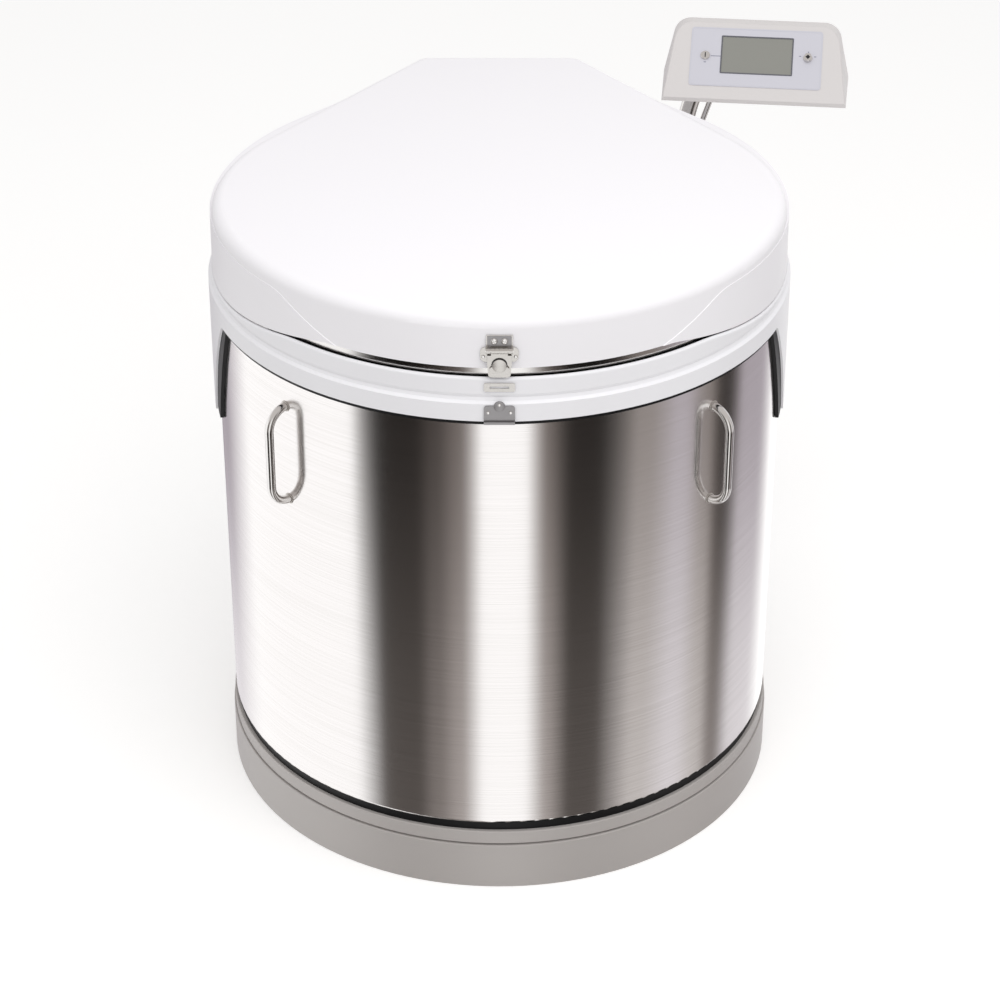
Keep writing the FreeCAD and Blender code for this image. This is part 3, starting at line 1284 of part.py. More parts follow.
def make_arm_bracket():
    foot = FLANK_OUT * (SHROUD_RADIUS + TIER_OUT) + FLANK_ALONG * ARM_ALONG
    width, height, thick = BRACKET_PLATE
    beam_w, beam_h = BRACKET_BEAM
    middle = 0.5 * (SOCKET_BOTTOM + SOCKET_TOP)
    run = ARM_REACH
    low = middle - height / 2 + BRACKET_CORNER
    beam_low = middle - beam_h / 2 + FUSE
    root = thick - FUSE
    side = -BRACKET_RIB / 2
    plate = block(-width / 2, width / 2, 0, thick, middle - height / 2, middle + height / 2)
    plate = plate.makeFillet(BRACKET_CORNER, edges_where(plate, across))
    beam = block(-beam_w / 2, beam_w / 2, root, run, middle - beam_h / 2, middle + beam_h / 2)
    rib = prism([V(side, root, low), V(side, run * BRACKET_RIB_REACH, beam_low), V(side, root, beam_low)],
                X_AXIS * BRACKET_RIB)
    body = plate.fuse(beam).fuse(rib)
    body.rotate(V(0, 0, 0), Z_AXIS, FLANK_BEARING - 180)
    body.translate(foot)
    body = body.fuse(disc(SOCKET_RADIUS, SOCKET_BOTTOM, SOCKET_TOP, POST.x, POST.y))
    bore = disc(POST_RADIUS + RUN_GAP, SOCKET_BOTTOM - height, SOCKET_TOP + height, POST.x, POST.y)
    return body.cut(bore).removeSplitter()


def make_bracket_screws():
    width, height, thick = BRACKET_PLATE
    middle = 0.5 * (SOCKET_BOTTOM + SOCKET_TOP)
    foot = FLANK_OUT * (SHROUD_RADIUS + TIER_OUT + thick) + FLANK_ALONG * ARM_ALONG + Z_AXIS * middle
    heads = []
    for side in (-1, 1):
        for level in (-1, 1):
            at = foot + FLANK_ALONG * side * (width / 2 - BRACKET_SCREW_INSET)
            at = at + Z_AXIS * level * (height / 2 - BRACKET_SCREW_INSET)
            heads.append(dome(BRACKET_SCREW_RADIUS, BRACKET_SCREW_HEIGHT, at, FLANK_OUT))
    return group(heads)


def make_arm_post():
    base = ARM_TOP - ARM_RISE

    def on_arc(turn):
        return V(POST.x + ARM_BEND * (1 - math.cos(turn)), POST.y, base + ARM_BEND * math.sin(turn))

    more = ARM_ANGLE + 3 * POST_RADIUS / ARM_BEND
    straight = disc(POST_RADIUS, SOCKET_BOTTOM - POST_PROUD, base, POST.x, POST.y)
    bend_wire = Part.Wire([Part.Arc(on_arc(0), on_arc(more / 2), on_arc(more)).toShape()])
    body = straight.fuse(swept_rod(bend_wire, POST_RADIUS))
    body = body.cut(block(-FAR, FAR, -FAR, FAR, ARM_TOP, ARM_TOP + FAR))
    stop_z = SOCKET_TOP + SEAT_GAP
    stop = disc(STOP_RADIUS, stop_z, stop_z + STOP_HEIGHT, POST.x, POST.y)
    stop = stop.makeFillet(STOP_ROUND, edges_where(stop, flat_at(stop_z + STOP_HEIGHT)))
    flange = disc(FLANGE_RADIUS, ARM_TOP, ARM_TOP + FLANGE_THICK, ARM_END.x, ARM_END.y)
    return body.fuse(stop).fuse(flange).removeSplitter()


def conduit_at(z):
    """A point on the conduit's slanting axis."""
    rise = z - CONSOLE_Z + CONDUIT_DROP
    return V(POST.x + CONDUIT_OUT + rise * CONDUIT_LEAN, POST.y, z)


def make_arm_conduit(post):
    top = CONSOLE_Z - GLAND_HEIGHT
    start = conduit_at(CONSOLE_Z - CONDUIT_DROP - CONDUIT_ROOT)
    body = cylinder(CONDUIT_RADIUS, start, conduit_at(top + OVERCUT)).cut(post)
    return body.cut(block(-FAR, FAR, -FAR, FAR, top, top + FAR))


def make_conduit_gland():
    foot = conduit_at(CONSOLE_Z - GLAND_HEIGHT)
    body = disc(GLAND_RADIUS, foot.z, CONSOLE_Z, foot.x, foot.y)
    return body.makeFillet(GLAND_ROUND, edges_where(body, flat_at(foot.z)))


def main():
    os.makedirs("parts", exist_ok=True)
    save(make_floor_plate(), "floor_plate")
    save(make_skirt(), "base_skirt")
    save(make_rim(), "base_rim")
    save(make_isolating_band(), "isolating_band")
    save(vessel(JACKET_RADIUS, JACKET_WALL, JACKET_FLOOR, JACKET_KNUCKLE, JACKET_Z, NECK_Z), "outer_jacket")
    save(tube(STAND_RADIUS, STAND_RADIUS - STAND_WALL, JACKET_Z + JACKET_FLOOR, VESSEL_Z), "vessel_stand")
    save(vessel(VESSEL_RADIUS, VESSEL_WALL, VESSEL_FLOOR, VESSEL_KNUCKLE, VESSEL_Z, NECK_Z), "inner_vessel")
    save(tube(STAND_RADIUS, STAND_RADIUS - STAND_WALL, VESSEL_Z + VESSEL_FLOOR, LINER_Z), "liner_stand")
    save(make_storage_liner(), "storage_liner")
    save(make_neck_flange(), "neck_flange")
    save(make_rack_platform(), "rack_platform")
    save(make_probe_tube(), "probe_tube")
    save(make_vacuum_port(), "vacuum_port")
    save(make_handle(-1), "grab_handle_left")
    save(make_handle(1), "grab_handle_right")
    save(make_shroud(), "top_shroud")
    save(make_shroud_trim(), "shroud_trim")
    save(make_rear_panel(), "rear_panel")
    save(make_panel_screws(), "rear_panel_screws")
    save(make_hinge_frame(), "hinge_frame")
    save(make_fill_valve(), "fill_valve")
    save(make_fill_pipe(), "fill_pipe")
    save(make_fill_inlet(), "fill_inlet")
    save(make_vent_pipe(), "vent_pipe")
    save(make_lid_shell(), "lid_shell")
    save(make_lid_pan(), "lid_pan")
    save(make_lid_foam(), "lid_foam")
    save(make_lid_gasket(), "lid_gasket")
    save(make_lid_rear_liner(), "lid_rear_liner")
    for side, name in ((-1, "left"), (1, "right")):
        save(make_fixed_leaf(side * HINGE_X), "hinge_leaf_fixed_" + name)
        save(make_moving_leaf(side * HINGE_X), "hinge_leaf_moving_" + name)
        save(make_hinge_pin(side * HINGE_X), "hinge_pin_" + name)
    half = HINGE_LEAF_HEIGHT / 2
    save(make_hinge_screws(SHROUD_BACK + HINGE_LEAF, FIXED_LEAF_TOP - half), "hinge_screws_body")
    save(make_hinge_screws(BACK_Y + HINGE_LEAF, MOVING_LEAF_BOTTOM + half), "hinge_screws_lid")
    save(make_latch_bracket(), "latch_bracket")
    save(make_latch_screws(), "latch_screws")
    save(make_hasp(), "latch_hasp")
    save(make_hasp_pin(), "latch_hasp_pin")
    save(make_slot_plate(), "latch_slot_plate")
    save(make_keeper(), "latch_keeper")
    save(make_keeper_rivets(), "latch_keeper_rivets")
    save(make_arm_bracket(), "arm_bracket")
    save(make_bracket_screws(), "arm_bracket_screws")
    post = make_arm_post()
    save(post, "arm_post")
    save(make_arm_conduit(post), "arm_conduit")
    save(make_conduit_gland(), "conduit_gland")
    save(make_console_housing(), "console_housing")
    save(make_console_back(), "console_back")
    save(make_overlay(), "console_overlay")
    save(make_screen(), "console_screen")
    save(make_key_switch(), "key_switch")
    save(make_selector_knob(), "selector_knob")
    save(make_console_screws(), "console_screws")


main()
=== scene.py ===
"""Looks of a wide-mouth liquid nitrogen storage freezer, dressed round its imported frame.

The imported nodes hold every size. This script gives each one its finish, models the small pieces that
the frame leaves plain, such as screws, weld beads and the keypad's printing, and sets up the studio.
"""

from __future__ import annotations

import json
import logging
import math
from dataclasses import dataclass
from enum import Enum
from typing import Iterable

import bpy
from mathutils import Matrix, Vector

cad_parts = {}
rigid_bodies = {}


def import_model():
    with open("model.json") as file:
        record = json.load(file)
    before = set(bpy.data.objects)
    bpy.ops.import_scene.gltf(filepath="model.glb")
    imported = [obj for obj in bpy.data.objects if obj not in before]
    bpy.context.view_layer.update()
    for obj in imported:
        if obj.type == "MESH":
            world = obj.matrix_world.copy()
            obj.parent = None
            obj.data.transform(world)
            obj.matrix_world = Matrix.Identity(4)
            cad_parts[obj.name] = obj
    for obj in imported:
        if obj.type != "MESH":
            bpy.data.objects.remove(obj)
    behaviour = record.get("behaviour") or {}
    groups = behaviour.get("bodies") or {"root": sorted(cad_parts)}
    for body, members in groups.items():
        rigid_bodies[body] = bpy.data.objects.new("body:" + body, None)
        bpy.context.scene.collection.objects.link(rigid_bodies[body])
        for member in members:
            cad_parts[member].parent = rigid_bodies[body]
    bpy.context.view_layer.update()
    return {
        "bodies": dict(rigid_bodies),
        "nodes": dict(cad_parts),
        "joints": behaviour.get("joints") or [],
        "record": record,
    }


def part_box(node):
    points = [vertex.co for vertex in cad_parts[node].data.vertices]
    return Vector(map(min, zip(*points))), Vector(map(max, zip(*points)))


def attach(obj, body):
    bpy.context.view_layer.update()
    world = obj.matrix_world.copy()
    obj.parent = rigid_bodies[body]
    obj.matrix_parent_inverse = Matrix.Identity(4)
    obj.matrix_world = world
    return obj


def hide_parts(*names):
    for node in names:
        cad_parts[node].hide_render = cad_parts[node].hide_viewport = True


LOG = logging.getLogger("storage_freezer")
MM = 0.001
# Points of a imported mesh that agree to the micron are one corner.
MICRONS = 1e6
# A disc's front edges are those above this share of its thickness.
JUST_BELOW = 0.99


class Body(Enum):
    """The bodies that the pieces ride on."""

    TANK = "tank"
    LID = "lid"
    HASP = "hasp"
    ARM = "arm"
    KEY = "key"
    KNOB = "knob"


def srgb(code: str) -> tuple[float, float, float, float]:
    """Turn an sRGB hex colour into linear RGBA.

    Args:
        code: Six hex digits, such as "F2F1F4".

    Returns:
        The linear colour with an alpha of 1.
    """
    channels = [int(code[i : i + 2], 16) / 255 for i in (0, 2, 4)]
    linear = [c / 12.92 if c <= 0.04045 else ((c + 0.055) / 1.055) ** 2.4 for c in channels]
    return (linear[0], linear[1], linear[2], 1.0)


def add_node(
    tree: bpy.types.NodeTree, kind: str, inputs: dict | None = None, **settings: object,
) -> bpy.types.Node:
    """Add a shader node with its settings, and fill or link its inputs.

    Args:
        tree: The node tree that takes the node.
        kind: The node's type name.
        inputs: Values or output sockets, by input name or index.
        **settings: Properties of the node.

    Returns:
        The new node.
    """
    node = tree.nodes.new(kind)
    for name, value in settings.items():
        setattr(node, name, value)
    for key, value in (inputs or {}).items():
        socket = node.inputs[key]
        if isinstance(value, bpy.types.NodeSocket):
            tree.links.new(value, socket)
        else:
            socket.default_value = value
    return node


def ramp(
    tree: bpy.types.NodeTree, factor: bpy.types.NodeSocket, stops: Iterable[tuple[float, str]],
) -> bpy.types.Node:
    """Add a colour ramp.

    Args:
        tree: The node tree.
        factor: What drives the ramp.
        stops: Position and hex colour of each stop, in rising order.

    Returns:
        The ramp node.
    """
    node = add_node(tree, "ShaderNodeValToRGB", {"Fac": factor})
    marks = list(stops)
    elements = node.color_ramp.elements
    while len(elements) < len(marks):
        elements.new(1.0)
    for element, (place, code) in zip(elements, marks):
        element.position = place
        element.color = srgb(code)
    return node


@dataclass(frozen=True)
class Finish:
    """A surface finish: how one material looks and which of the record's slots it belongs to."""

    name: str
    slot: str
    colour: str
    roughness: float
    metallic: float = 0.0

    def shade(self, tree: bpy.types.NodeTree, surface: bpy.types.Node) -> None:
        """Add the finish's own pattern to its surface shader."""

    def make(self) -> bpy.types.Material:
        """Return the material, made on its first use."""
        found = bpy.data.materials.get(self.name)
        if found:
            return found
        material = bpy.data.materials.new(self.name)
        material.use_nodes = True
        tree = material.node_tree
        tree.nodes.clear()
        surface = add_node(tree, "ShaderNodeBsdfPrincipled", {
            "Base Color": srgb(self.colour), "Roughness": self.roughness, "Metallic": self.metallic,
        })
        add_node(tree, "ShaderNodeOutputMaterial", {"Surface": surface.outputs[0]})
        self.shade(tree, surface)
        return material

    def texture_space(
        self, tree: bpy.types.NodeTree, cell_mm: tuple[float, float, float],
    ) -> bpy.types.NodeSocket:
        """Object coordinates scaled so that one unit is cell_mm along each axis."""
        coords = add_node(tree, "ShaderNodeTexCoord")
        scale = tuple(1.0 / (size * MM) for size in cell_mm)
        mapping = add_node(tree, "ShaderNodeMapping", {"Vector": coords.outputs["Object"], "Scale": scale})
        return mapping.outputs[0]

    def link(
        self, tree: bpy.types.NodeTree, source: bpy.types.NodeSocket, target: bpy.types.NodeSocket,
    ) -> None:
        """Link two sockets."""
        tree.links.new(source, target)


@dataclass(frozen=True)
class BrushedStainless(Finish):
    """Stainless sheet brushed round the tank: fine level streaks that stretch every reflection upwards.

    The real grit lines are about 0.1 mm apart. They are drawn 2 mm apart, so that they still show.
    """

    streak_mm: tuple[float, float, float] = (600.0, 600.0, 2.0)
    dark: str = "DAD7D5"
    spread: float = 0.03
    anisotropy: float = 0.70
    depth_mm: float = 0.006

    def shade(self, tree: bpy.types.NodeTree, surface: bpy.types.Node) -> None:
        """Streaks in colour, gloss and relief, with the grain running round the axis."""
        space = self.texture_space(tree, self.streak_mm)
        streaks = add_node(tree, "ShaderNodeTexNoise", {
            "Vector": space, "Scale": 1.0, "Detail": 6.0, "Roughness": 0.7,
        })
        tint = ramp(tree, streaks.outputs["Fac"], [(0.30, self.dark), (0.60, self.colour)])
        gloss = add_node(tree, "ShaderNodeMapRange", {
            "Value": streaks.outputs["Fac"], "From Min": 0.3, "From Max": 0.7,
            "To Min": self.roughness + self.spread / 2, "To Max": self.roughness - self.spread / 2,
        })
        relief = add_node(tree, "ShaderNodeBump", {
            "Height": streaks.outputs["Fac"], "Strength": 0.1, "Distance": self.depth_mm * MM,
        })
        grain = add_node(tree, "ShaderNodeTangent", direction_type="RADIAL", axis="Z")
        self.link(tree, tint.outputs[0], surface.inputs["Base Color"])
        self.link(tree, gloss.outputs[0], surface.inputs["Roughness"])
        self.link(tree, relief.outputs[0], surface.inputs["Normal"])
        self.link(tree, grain.outputs[0], surface.inputs["Tangent"])
        surface.inputs["Anisotropic"].default_value = self.anisotropy
        surface.inputs["Anisotropic Rotation"].default_value = 0.25


@dataclass(frozen=True)
class PolishedStainless(Finish):
    """Pressed or turned stainless with faint polishing lines."""

    line_mm: float = 1.4

    def shade(self, tree: bpy.types.NodeTree, surface: bpy.types.Node) -> None:
        """Faint lines in gloss and relief."""
        space = self.texture_space(tree, (self.line_mm * 14, self.line_mm * 14, self.line_mm))
        lines = add_node(tree, "ShaderNodeTexNoise", {"Vector": space, "Scale": 1.0, "Detail": 4.0})
        gloss = add_node(tree, "ShaderNodeMapRange", {
            "Value": lines.outputs["Fac"], "To Min": self.roughness * 0.7, "To Max": self.roughness * 1.3,
        })
        relief = add_node(tree, "ShaderNodeBump", {
            "Height": lines.outputs["Fac"], "Strength": 0.2, "Distance": 0.02 * MM,
        })
        self.link(tree, gloss.outputs[0], surface.inputs["Roughness"])
        self.link(tree, relief.outputs[0], surface.inputs["Normal"])


@dataclass(frozen=True)
class PebbledMoulding(Finish):
    """Moulded thermoplastic with the fine pebble of its mould, a soft sheen and no gloss."""

    pebble_mm: float = 3.2
    depth_mm: float = 0.10
    strength: float = 0.35

    def shade(self, tree: bpy.types.NodeTree, surface: bpy.types.Node) -> None:
        """Pebbles in relief, drawn coarser than the real 1 mm ones so that they show, and a faint mottle."""
        space = self.texture_space(tree, (self.pebble_mm,) * 3)
        pebbles = add_node(tree, "ShaderNodeTexVoronoi", {"Vector": space, "Scale": 1.0}, feature="SMOOTH_F1")
        grain = add_node(tree, "ShaderNodeTexNoise", {"Vector": space, "Scale": 1.6, "Detail": 3.0})
        height = add_node(tree, "ShaderNodeMath", {0: pebbles.outputs["Distance"], 1: grain.outputs["Fac"]},
                          operation="ADD")
        relief = add_node(tree, "ShaderNodeBump", {
            "Height": height.outputs[0], "Strength": self.strength, "Distance": self.depth_mm * MM,
        })
        mottle = add_node(tree, "ShaderNodeTexNoise", {"Vector": space, "Scale": 0.02, "Detail": 2.0})
        gloss = add_node(tree, "ShaderNodeMapRange", {
            "Value": mottle.outputs["Fac"], "To Min": self.roughness - 0.05, "To Max": self.roughness + 0.05,
        })
        self.link(tree, relief.outputs[0], surface.inputs["Normal"])
        self.link(tree, gloss.outputs[0], surface.inputs["Roughness"])
        surface.inputs["IOR"].default_value = 1.46


@dataclass(frozen=True)
class SatinPaint(Finish):
    """Baked satin paint over steel: even colour with a slight orange peel."""

    peel_mm: float = 5.0

    def shade(self, tree: bpy.types.NodeTree, surface: bpy.types.Node) -> None:
        """Orange peel in relief and a slow drift in gloss."""
        space = self.texture_space(tree, (self.peel_mm,) * 3)
        peel = add_node(tree, "ShaderNodeTexNoise", {"Vector": space, "Scale": 1.0, "Detail": 2.0})
        relief = add_node(tree, "ShaderNodeBump", {
            "Height": peel.outputs["Fac"], "Strength": 0.15, "Distance": 0.06 * MM,
        })
        gloss = add_node(tree, "ShaderNodeMapRange", {
            "Value": peel.outputs["Fac"], "To Min": self.roughness - 0.04, "To Max": self.roughness + 0.04,
        })
        self.link(tree, relief.outputs[0], surface.inputs["Normal"])
        self.link(tree, gloss.outputs[0], surface.inputs["Roughness"])


@dataclass(frozen=True)
class Rubber(Finish):
    """Black elastomer: dull, with a fine grain."""

    def shade(self, tree: bpy.types.NodeTree, surface: bpy.types.Node) -> None:
        """Fine grain in relief."""
        space = self.texture_space(tree, (1.2,) * 3)
        grain = add_node(tree, "ShaderNodeTexNoise", {"Vector": space, "Scale": 1.0, "Detail": 3.0})
        relief = add_node(tree, "ShaderNodeBump", {
            "Height": grain.outputs["Fac"], "Strength": 0.2, "Distance": 0.05 * MM,
        })
        self.link(tree, relief.outputs[0], surface.inputs["Normal"])
        surface.inputs["IOR"].default_value = 1.35


@dataclass(frozen=True)
class RigidFoam(Finish):
    """Poured polyurethane foam: open cells in a straw-coloured skin."""

    def shade(self, tree: bpy.types.NodeTree, surface: bpy.types.Node) -> None:
        """Cells in relief."""
        space = self.texture_space(tree, (2.0,) * 3)
        cells = add_node(tree, "ShaderNodeTexVoronoi", {"Vector": space, "Scale": 1.0})
        relief = add_node(tree, "ShaderNodeBump", {
            "Height": cells.outputs["Distance"], "Strength": 0.5, "Distance": 0.4 * MM,
        })
        self.link(tree, relief.outputs[0], surface.inputs["Normal"])


# The tank itself: near-mirror bands under fine level brushing.
STEEL = BrushedStainless("brushed_stainless_sheet", "brushed_stainless", "E4E1E0", 0.15, 1.0)
# Tubes and ports: a clear gleam along them, softer than the trim.
TUBE_STEEL = PolishedStainless("drawn_stainless_tube", "brushed_stainless", "D6D3D0", 0.20, 1.0)
# Handles, pins, screws and controls: the sharpest glints.
BRIGHT_STEEL = PolishedStainless("polished_stainless", "polished_steel", "DAD8D6", 0.14, 1.0)
# Latch and hinges: satin, so that their edges read before their faces.
CAST_ZINC = PolishedStainless("satin_nickel_pressing", "polished_steel", "C9C6C2", 0.26, 1.0)
# The keeper, a dull grey against the white, and the thin plate behind the latch, whose dark grey is a painted
# reflection.
DARK_METAL_AND_PAINTED_REFLECTION = PolishedStainless("dark_metal_and_painted_reflection", "polished_steel", "9B999A", 0.34, 1.0)
# The base ring: an even grey that keeps the eye on the steel.
BASE_PAINT = SatinPaint("metallic_grey_paint", "painted_base", "B8B3B0", 0.45, 0.15, peel_mm=3.0)
# Weld beads and the rear seam: matt beside the polished steel.
WELD = PolishedStainless("blasted_weld", "brushed_stainless", "BEB9B4", 0.38, 1.0, line_mm=0.8)
# The lid: soft white with a pebble that breaks up its sheen.
LID_PLASTIC = PebbledMoulding("pebbled_lid_moulding", "white_moulding", "F4F2F5", 0.42)
# Collar and apron: the same white, smoother.
SHROUD_PLASTIC = PebbledMoulding("smooth_shroud_moulding", "white_moulding", "EFEEF1", 0.36, strength=0.12)
# The console: a warmer, darker white than the lid.
CONSOLE_PLASTIC = PebbledMoulding(
    "console_moulding", "white_moulding", "D3CFCE", 0.40, pebble_mm=1.8, strength=0.2,
)
# Edging, gasket and band: the dark lines that part white from steel; also the black bead of painted shade in
# the gap under the collar.
BLACK_EDGING_AND_PAINTED_SHADE = Rubber("black_edging_and_painted_shade", "black_rubber", "0C0C0E", 0.45)
# Inside the lid: straw-coloured cells.
FOAM = RigidFoam("rigid_foam", "insulating_foam", "D9CFA0", 0.9)
# Small black fittings and inlays, and black patches of painted shade and shadow in the key's slot and behind
# the hasp's tab: a low sheen.
BLACK_NYLON_AND_PAINTED_SHADE = PebbledMoulding("black_nylon_and_painted_shade", "black_plastic", "1B1B1E", 0.5, pebble_mm=1.6, strength=0.2)
# The stands in the vacuum space: dull olive.
LAMINATE = PebbledMoulding("glass_fibre_laminate", "black_plastic", "6B6A55", 0.6)
# The rack platform: paler and flatter than the steel.
ALUMINIUM = PolishedStainless("mill_finish_aluminium", "aluminium_plate", "C6C7C9", 0.38, 1.0)
# Rear panel and hinge frame: plain white metal.
PANEL_PAINT = SatinPaint("white_powder_coat", "painted_panel", "E6E5E4", 0.5)
# Filling fittings: the only warm metal.
BRASS = PolishedStainless("turned_brass", "brass_fitting", "C29B57", 0.24, 1.0)
# The overlay: cool grey against the warm console.
FILM = SatinPaint("printed_polyester_film", "overlay_film", "C9C8D0", 0.45, peel_mm=2.0)
# The unlit display: grey-green with a faint gloss.
SCREEN = SatinPaint("liquid_crystal_pane", "screen_glass", "8A8A84", 0.25, peel_mm=30.0)
# Printed line and ticks.
PRINT_GREY = SatinPaint("grey_print", "overlay_film", "74768A", 0.5)
# Painted shade: a rim a little darker than the film, round the overlay's sunk edge.
OVERLAY_RIM_PAINTED_SHADE = SatinPaint("painted_shade_rim", "overlay_film", "C6C6CE", 0.5)
# Painted shadow: a dark frame round the screen, where its sunk edge is shaded.
SCREEN_PAINTED_SHADOW = SatinPaint("painted_shadow_frame", "overlay_film", "5E5F66", 0.4)

NODE_FINISHES: dict[str, Finish] = {
    "outer_jacket": STEEL, "inner_vessel": STEEL, "storage_liner": STEEL, "floor_plate": STEEL,
    "vacuum_port": TUBE_STEEL, "probe_tube": TUBE_STEEL, "grab_handle_left": BRIGHT_STEEL,
    "grab_handle_right": BRIGHT_STEEL, "arm_bracket": CAST_ZINC, "arm_post": TUBE_STEEL,
    "hinge_leaf_fixed_left": CAST_ZINC, "hinge_leaf_fixed_right": CAST_ZINC,
    "hinge_leaf_moving_left": CAST_ZINC, "hinge_leaf_moving_right": CAST_ZINC,
    "hinge_pin_left": BRIGHT_STEEL, "hinge_pin_right": BRIGHT_STEEL, "base_skirt": BASE_PAINT,
    "base_rim": BASE_PAINT, "lid_pan": BRIGHT_STEEL, "neck_flange": BRIGHT_STEEL,
    "hinge_screws_body": BRIGHT_STEEL, "hinge_screws_lid": BRIGHT_STEEL, "latch_bracket": CAST_ZINC,
    "latch_screws": BRIGHT_STEEL, "latch_hasp": CAST_ZINC, "latch_hasp_pin": BRIGHT_STEEL,
    "latch_slot_plate": CAST_ZINC, "latch_keeper": DARK_METAL_AND_PAINTED_REFLECTION, "latch_keeper_rivets": BRIGHT_STEEL,
    "rear_panel_screws": BRIGHT_STEEL, "arm_bracket_screws": BRIGHT_STEEL, "console_screws": BRIGHT_STEEL,
    "key_switch": BRIGHT_STEEL, "lid_shell": LID_PLASTIC, "top_shroud": SHROUD_PLASTIC,
    "console_housing": CONSOLE_PLASTIC, "console_back": CONSOLE_PLASTIC, "lid_rear_liner": SHROUD_PLASTIC,
    "lid_gasket": BLACK_EDGING_AND_PAINTED_SHADE, "isolating_band": BLACK_EDGING_AND_PAINTED_SHADE, "shroud_trim": BLACK_EDGING_AND_PAINTED_SHADE,
    "conduit_gland": BLACK_NYLON_AND_PAINTED_SHADE, "lid_foam": FOAM, "vessel_stand": LAMINATE, "liner_stand": LAMINATE,
    "selector_knob": BRIGHT_STEEL, "arm_conduit": BRIGHT_STEEL, "rack_platform": ALUMINIUM,
    "rear_panel": PANEL_PAINT, "hinge_frame": PANEL_PAINT, "fill_valve": BRASS, "fill_inlet": BRASS,
    "fill_pipe": BRASS, "vent_pipe": TUBE_STEEL, "console_overlay": FILM, "console_screen": SCREEN,
}


def dress(piece: bpy.types.Object, finish: Finish) -> None:
    """Give a piece one finish all over."""
    piece.data.materials.clear()
    piece.data.materials.append(finish.make())


def deselect() -> None:
    """Leave edit mode and deselect everything."""
    if bpy.context.object and bpy.context.object.mode != "OBJECT":
        bpy.ops.object.mode_set(mode="OBJECT")
    bpy.ops.object.select_all(action="DESELECT")


def pick(piece: bpy.types.Object) -> None:
    """Make a piece the only selected and the active one."""
    deselect()
    bpy.context.view_layer.objects.active = piece
    piece.select_set(True)


def apply_place(piece: bpy.types.Object) -> None:
    """Put a piece's place, turn and scale into its mesh."""
    pick(piece)
    bpy.ops.object.transform_apply(location=True, rotation=True, scale=True)


def settle(piece: bpy.types.Object, name: str, finish: Finish, body: Body) -> bpy.types.Object:
    """Name a finished piece, put its place into its mesh, dress it and hang it on its body.

    Args:
        piece: The finished object.
        name: Its name.
        finish: Its finish.
        body: The body that it rides on.

    Returns:
        The same object.
    """
    apply_place(piece)
    piece.name = name
    piece.data.name = name
    dress(piece, finish)
    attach(piece, body.value)
    return piece


def edit_edges(piece: bpy.types.Object, above: float) -> None:
    """Open a piece in edit mode with the edges selected whose middle lies above a height in metres."""
    pick(piece)
    mesh = piece.data
    for group in (mesh.vertices, mesh.edges, mesh.polygons):
        for element in group:
            element.select = False
    for edge in mesh.edges:
        first, second = (mesh.vertices[i].co for i in edge.vertices)
        edge.select = (first.z + second.z) / 2 > above
    bpy.ops.object.mode_set(mode="EDIT")
    bpy.ops.mesh.select_mode(type="EDGE")


def smooth(piece: bpy.types.Object, degrees: float) -> None:
    """Shade the faces smooth that meet at less than an angle."""
    pick(piece)
    bpy.ops.object.shade_smooth_by_angle(angle=math.radians(degrees))


def leave_edit(piece: bpy.types.Object, smooth_degrees: float = 35.0) -> None:
    """Leave edit mode with normals outwards and rounded faces smooth."""
    bpy.ops.mesh.select_all(action="SELECT")
    bpy.ops.mesh.normals_make_consistent(inside=False)
    smooth(piece, smooth_degrees)


def carve(piece: bpy.types.Object, cutter: bpy.types.Object) -> None:
    """Cut one closed piece out of another and remove the cutter."""
    pick(piece)
    cut = piece.modifiers.new("cut", "BOOLEAN")
    cut.operation = "DIFFERENCE"
    cut.solver = "EXACT"
    cut.object = cutter
    bpy.ops.object.modifier_apply(modifier=cut.name)
    bpy.data.objects.remove(cutter, do_unlink=True)


def copy_to(master: bpy.types.Object, frame: Matrix) -> bpy.types.Object:
    """Copy a piece, with its own mesh, and put the copy's place into that mesh.

    Args:
        master: The piece that was modelled once, at the origin.
        frame: Where the copy goes.

    Returns:
        The copy.
    """
    copy = master.copy()
    copy.data = master.data.copy()
    bpy.context.scene.collection.objects.link(copy)
    copy.data.transform(frame)
    return copy


def join(pieces: list[bpy.types.Object]) -> bpy.types.Object:
    """Join pieces into the first one."""
    deselect()
    for piece in pieces:
        piece.select_set(True)
    bpy.context.view_layer.objects.active = pieces[0]
    if len(pieces) > 1:
        bpy.ops.object.join()
    return pieces[0]


def facing(point_mm: tuple[float, float, float], normal: Vector, spin_degrees: float = 0.0) -> Matrix:
    """Return the frame of a piece that sits at a point and looks along a normal.

    Args:
        point_mm: Where the piece's foot goes, in millimetres.
        normal: Where its +Z looks.
        spin_degrees: Turn about its own axis.

    Returns:
        The 4x4 matrix in metres.
    """
    turn = normal.to_track_quat("Z", "Y").to_matrix().to_4x4()
    spin = Matrix.Rotation(math.radians(spin_degrees), 4, "Z")
    return Matrix.Translation(Vector(point_mm) * MM) @ turn @ spin


def cylinder(sides: int, radius: float, height: float, middle: float) -> bpy.types.Object:
    """Add a cylinder on the Z axis, in millimetres, with its place in its mesh.

    Args:
        sides: Number of sides.
        radius: Radius.
        height: Height along Z.
        middle: Height of its middle above Z = 0.

    Returns:
        The cylinder.
    """
    deselect()
    bpy.ops.mesh.primitive_cylinder_add(
        vertices=sides, radius=radius * MM, depth=height * MM, location=(0, 0, middle * MM),
    )
    piece = bpy.context.object
    apply_place(piece)
    return piece


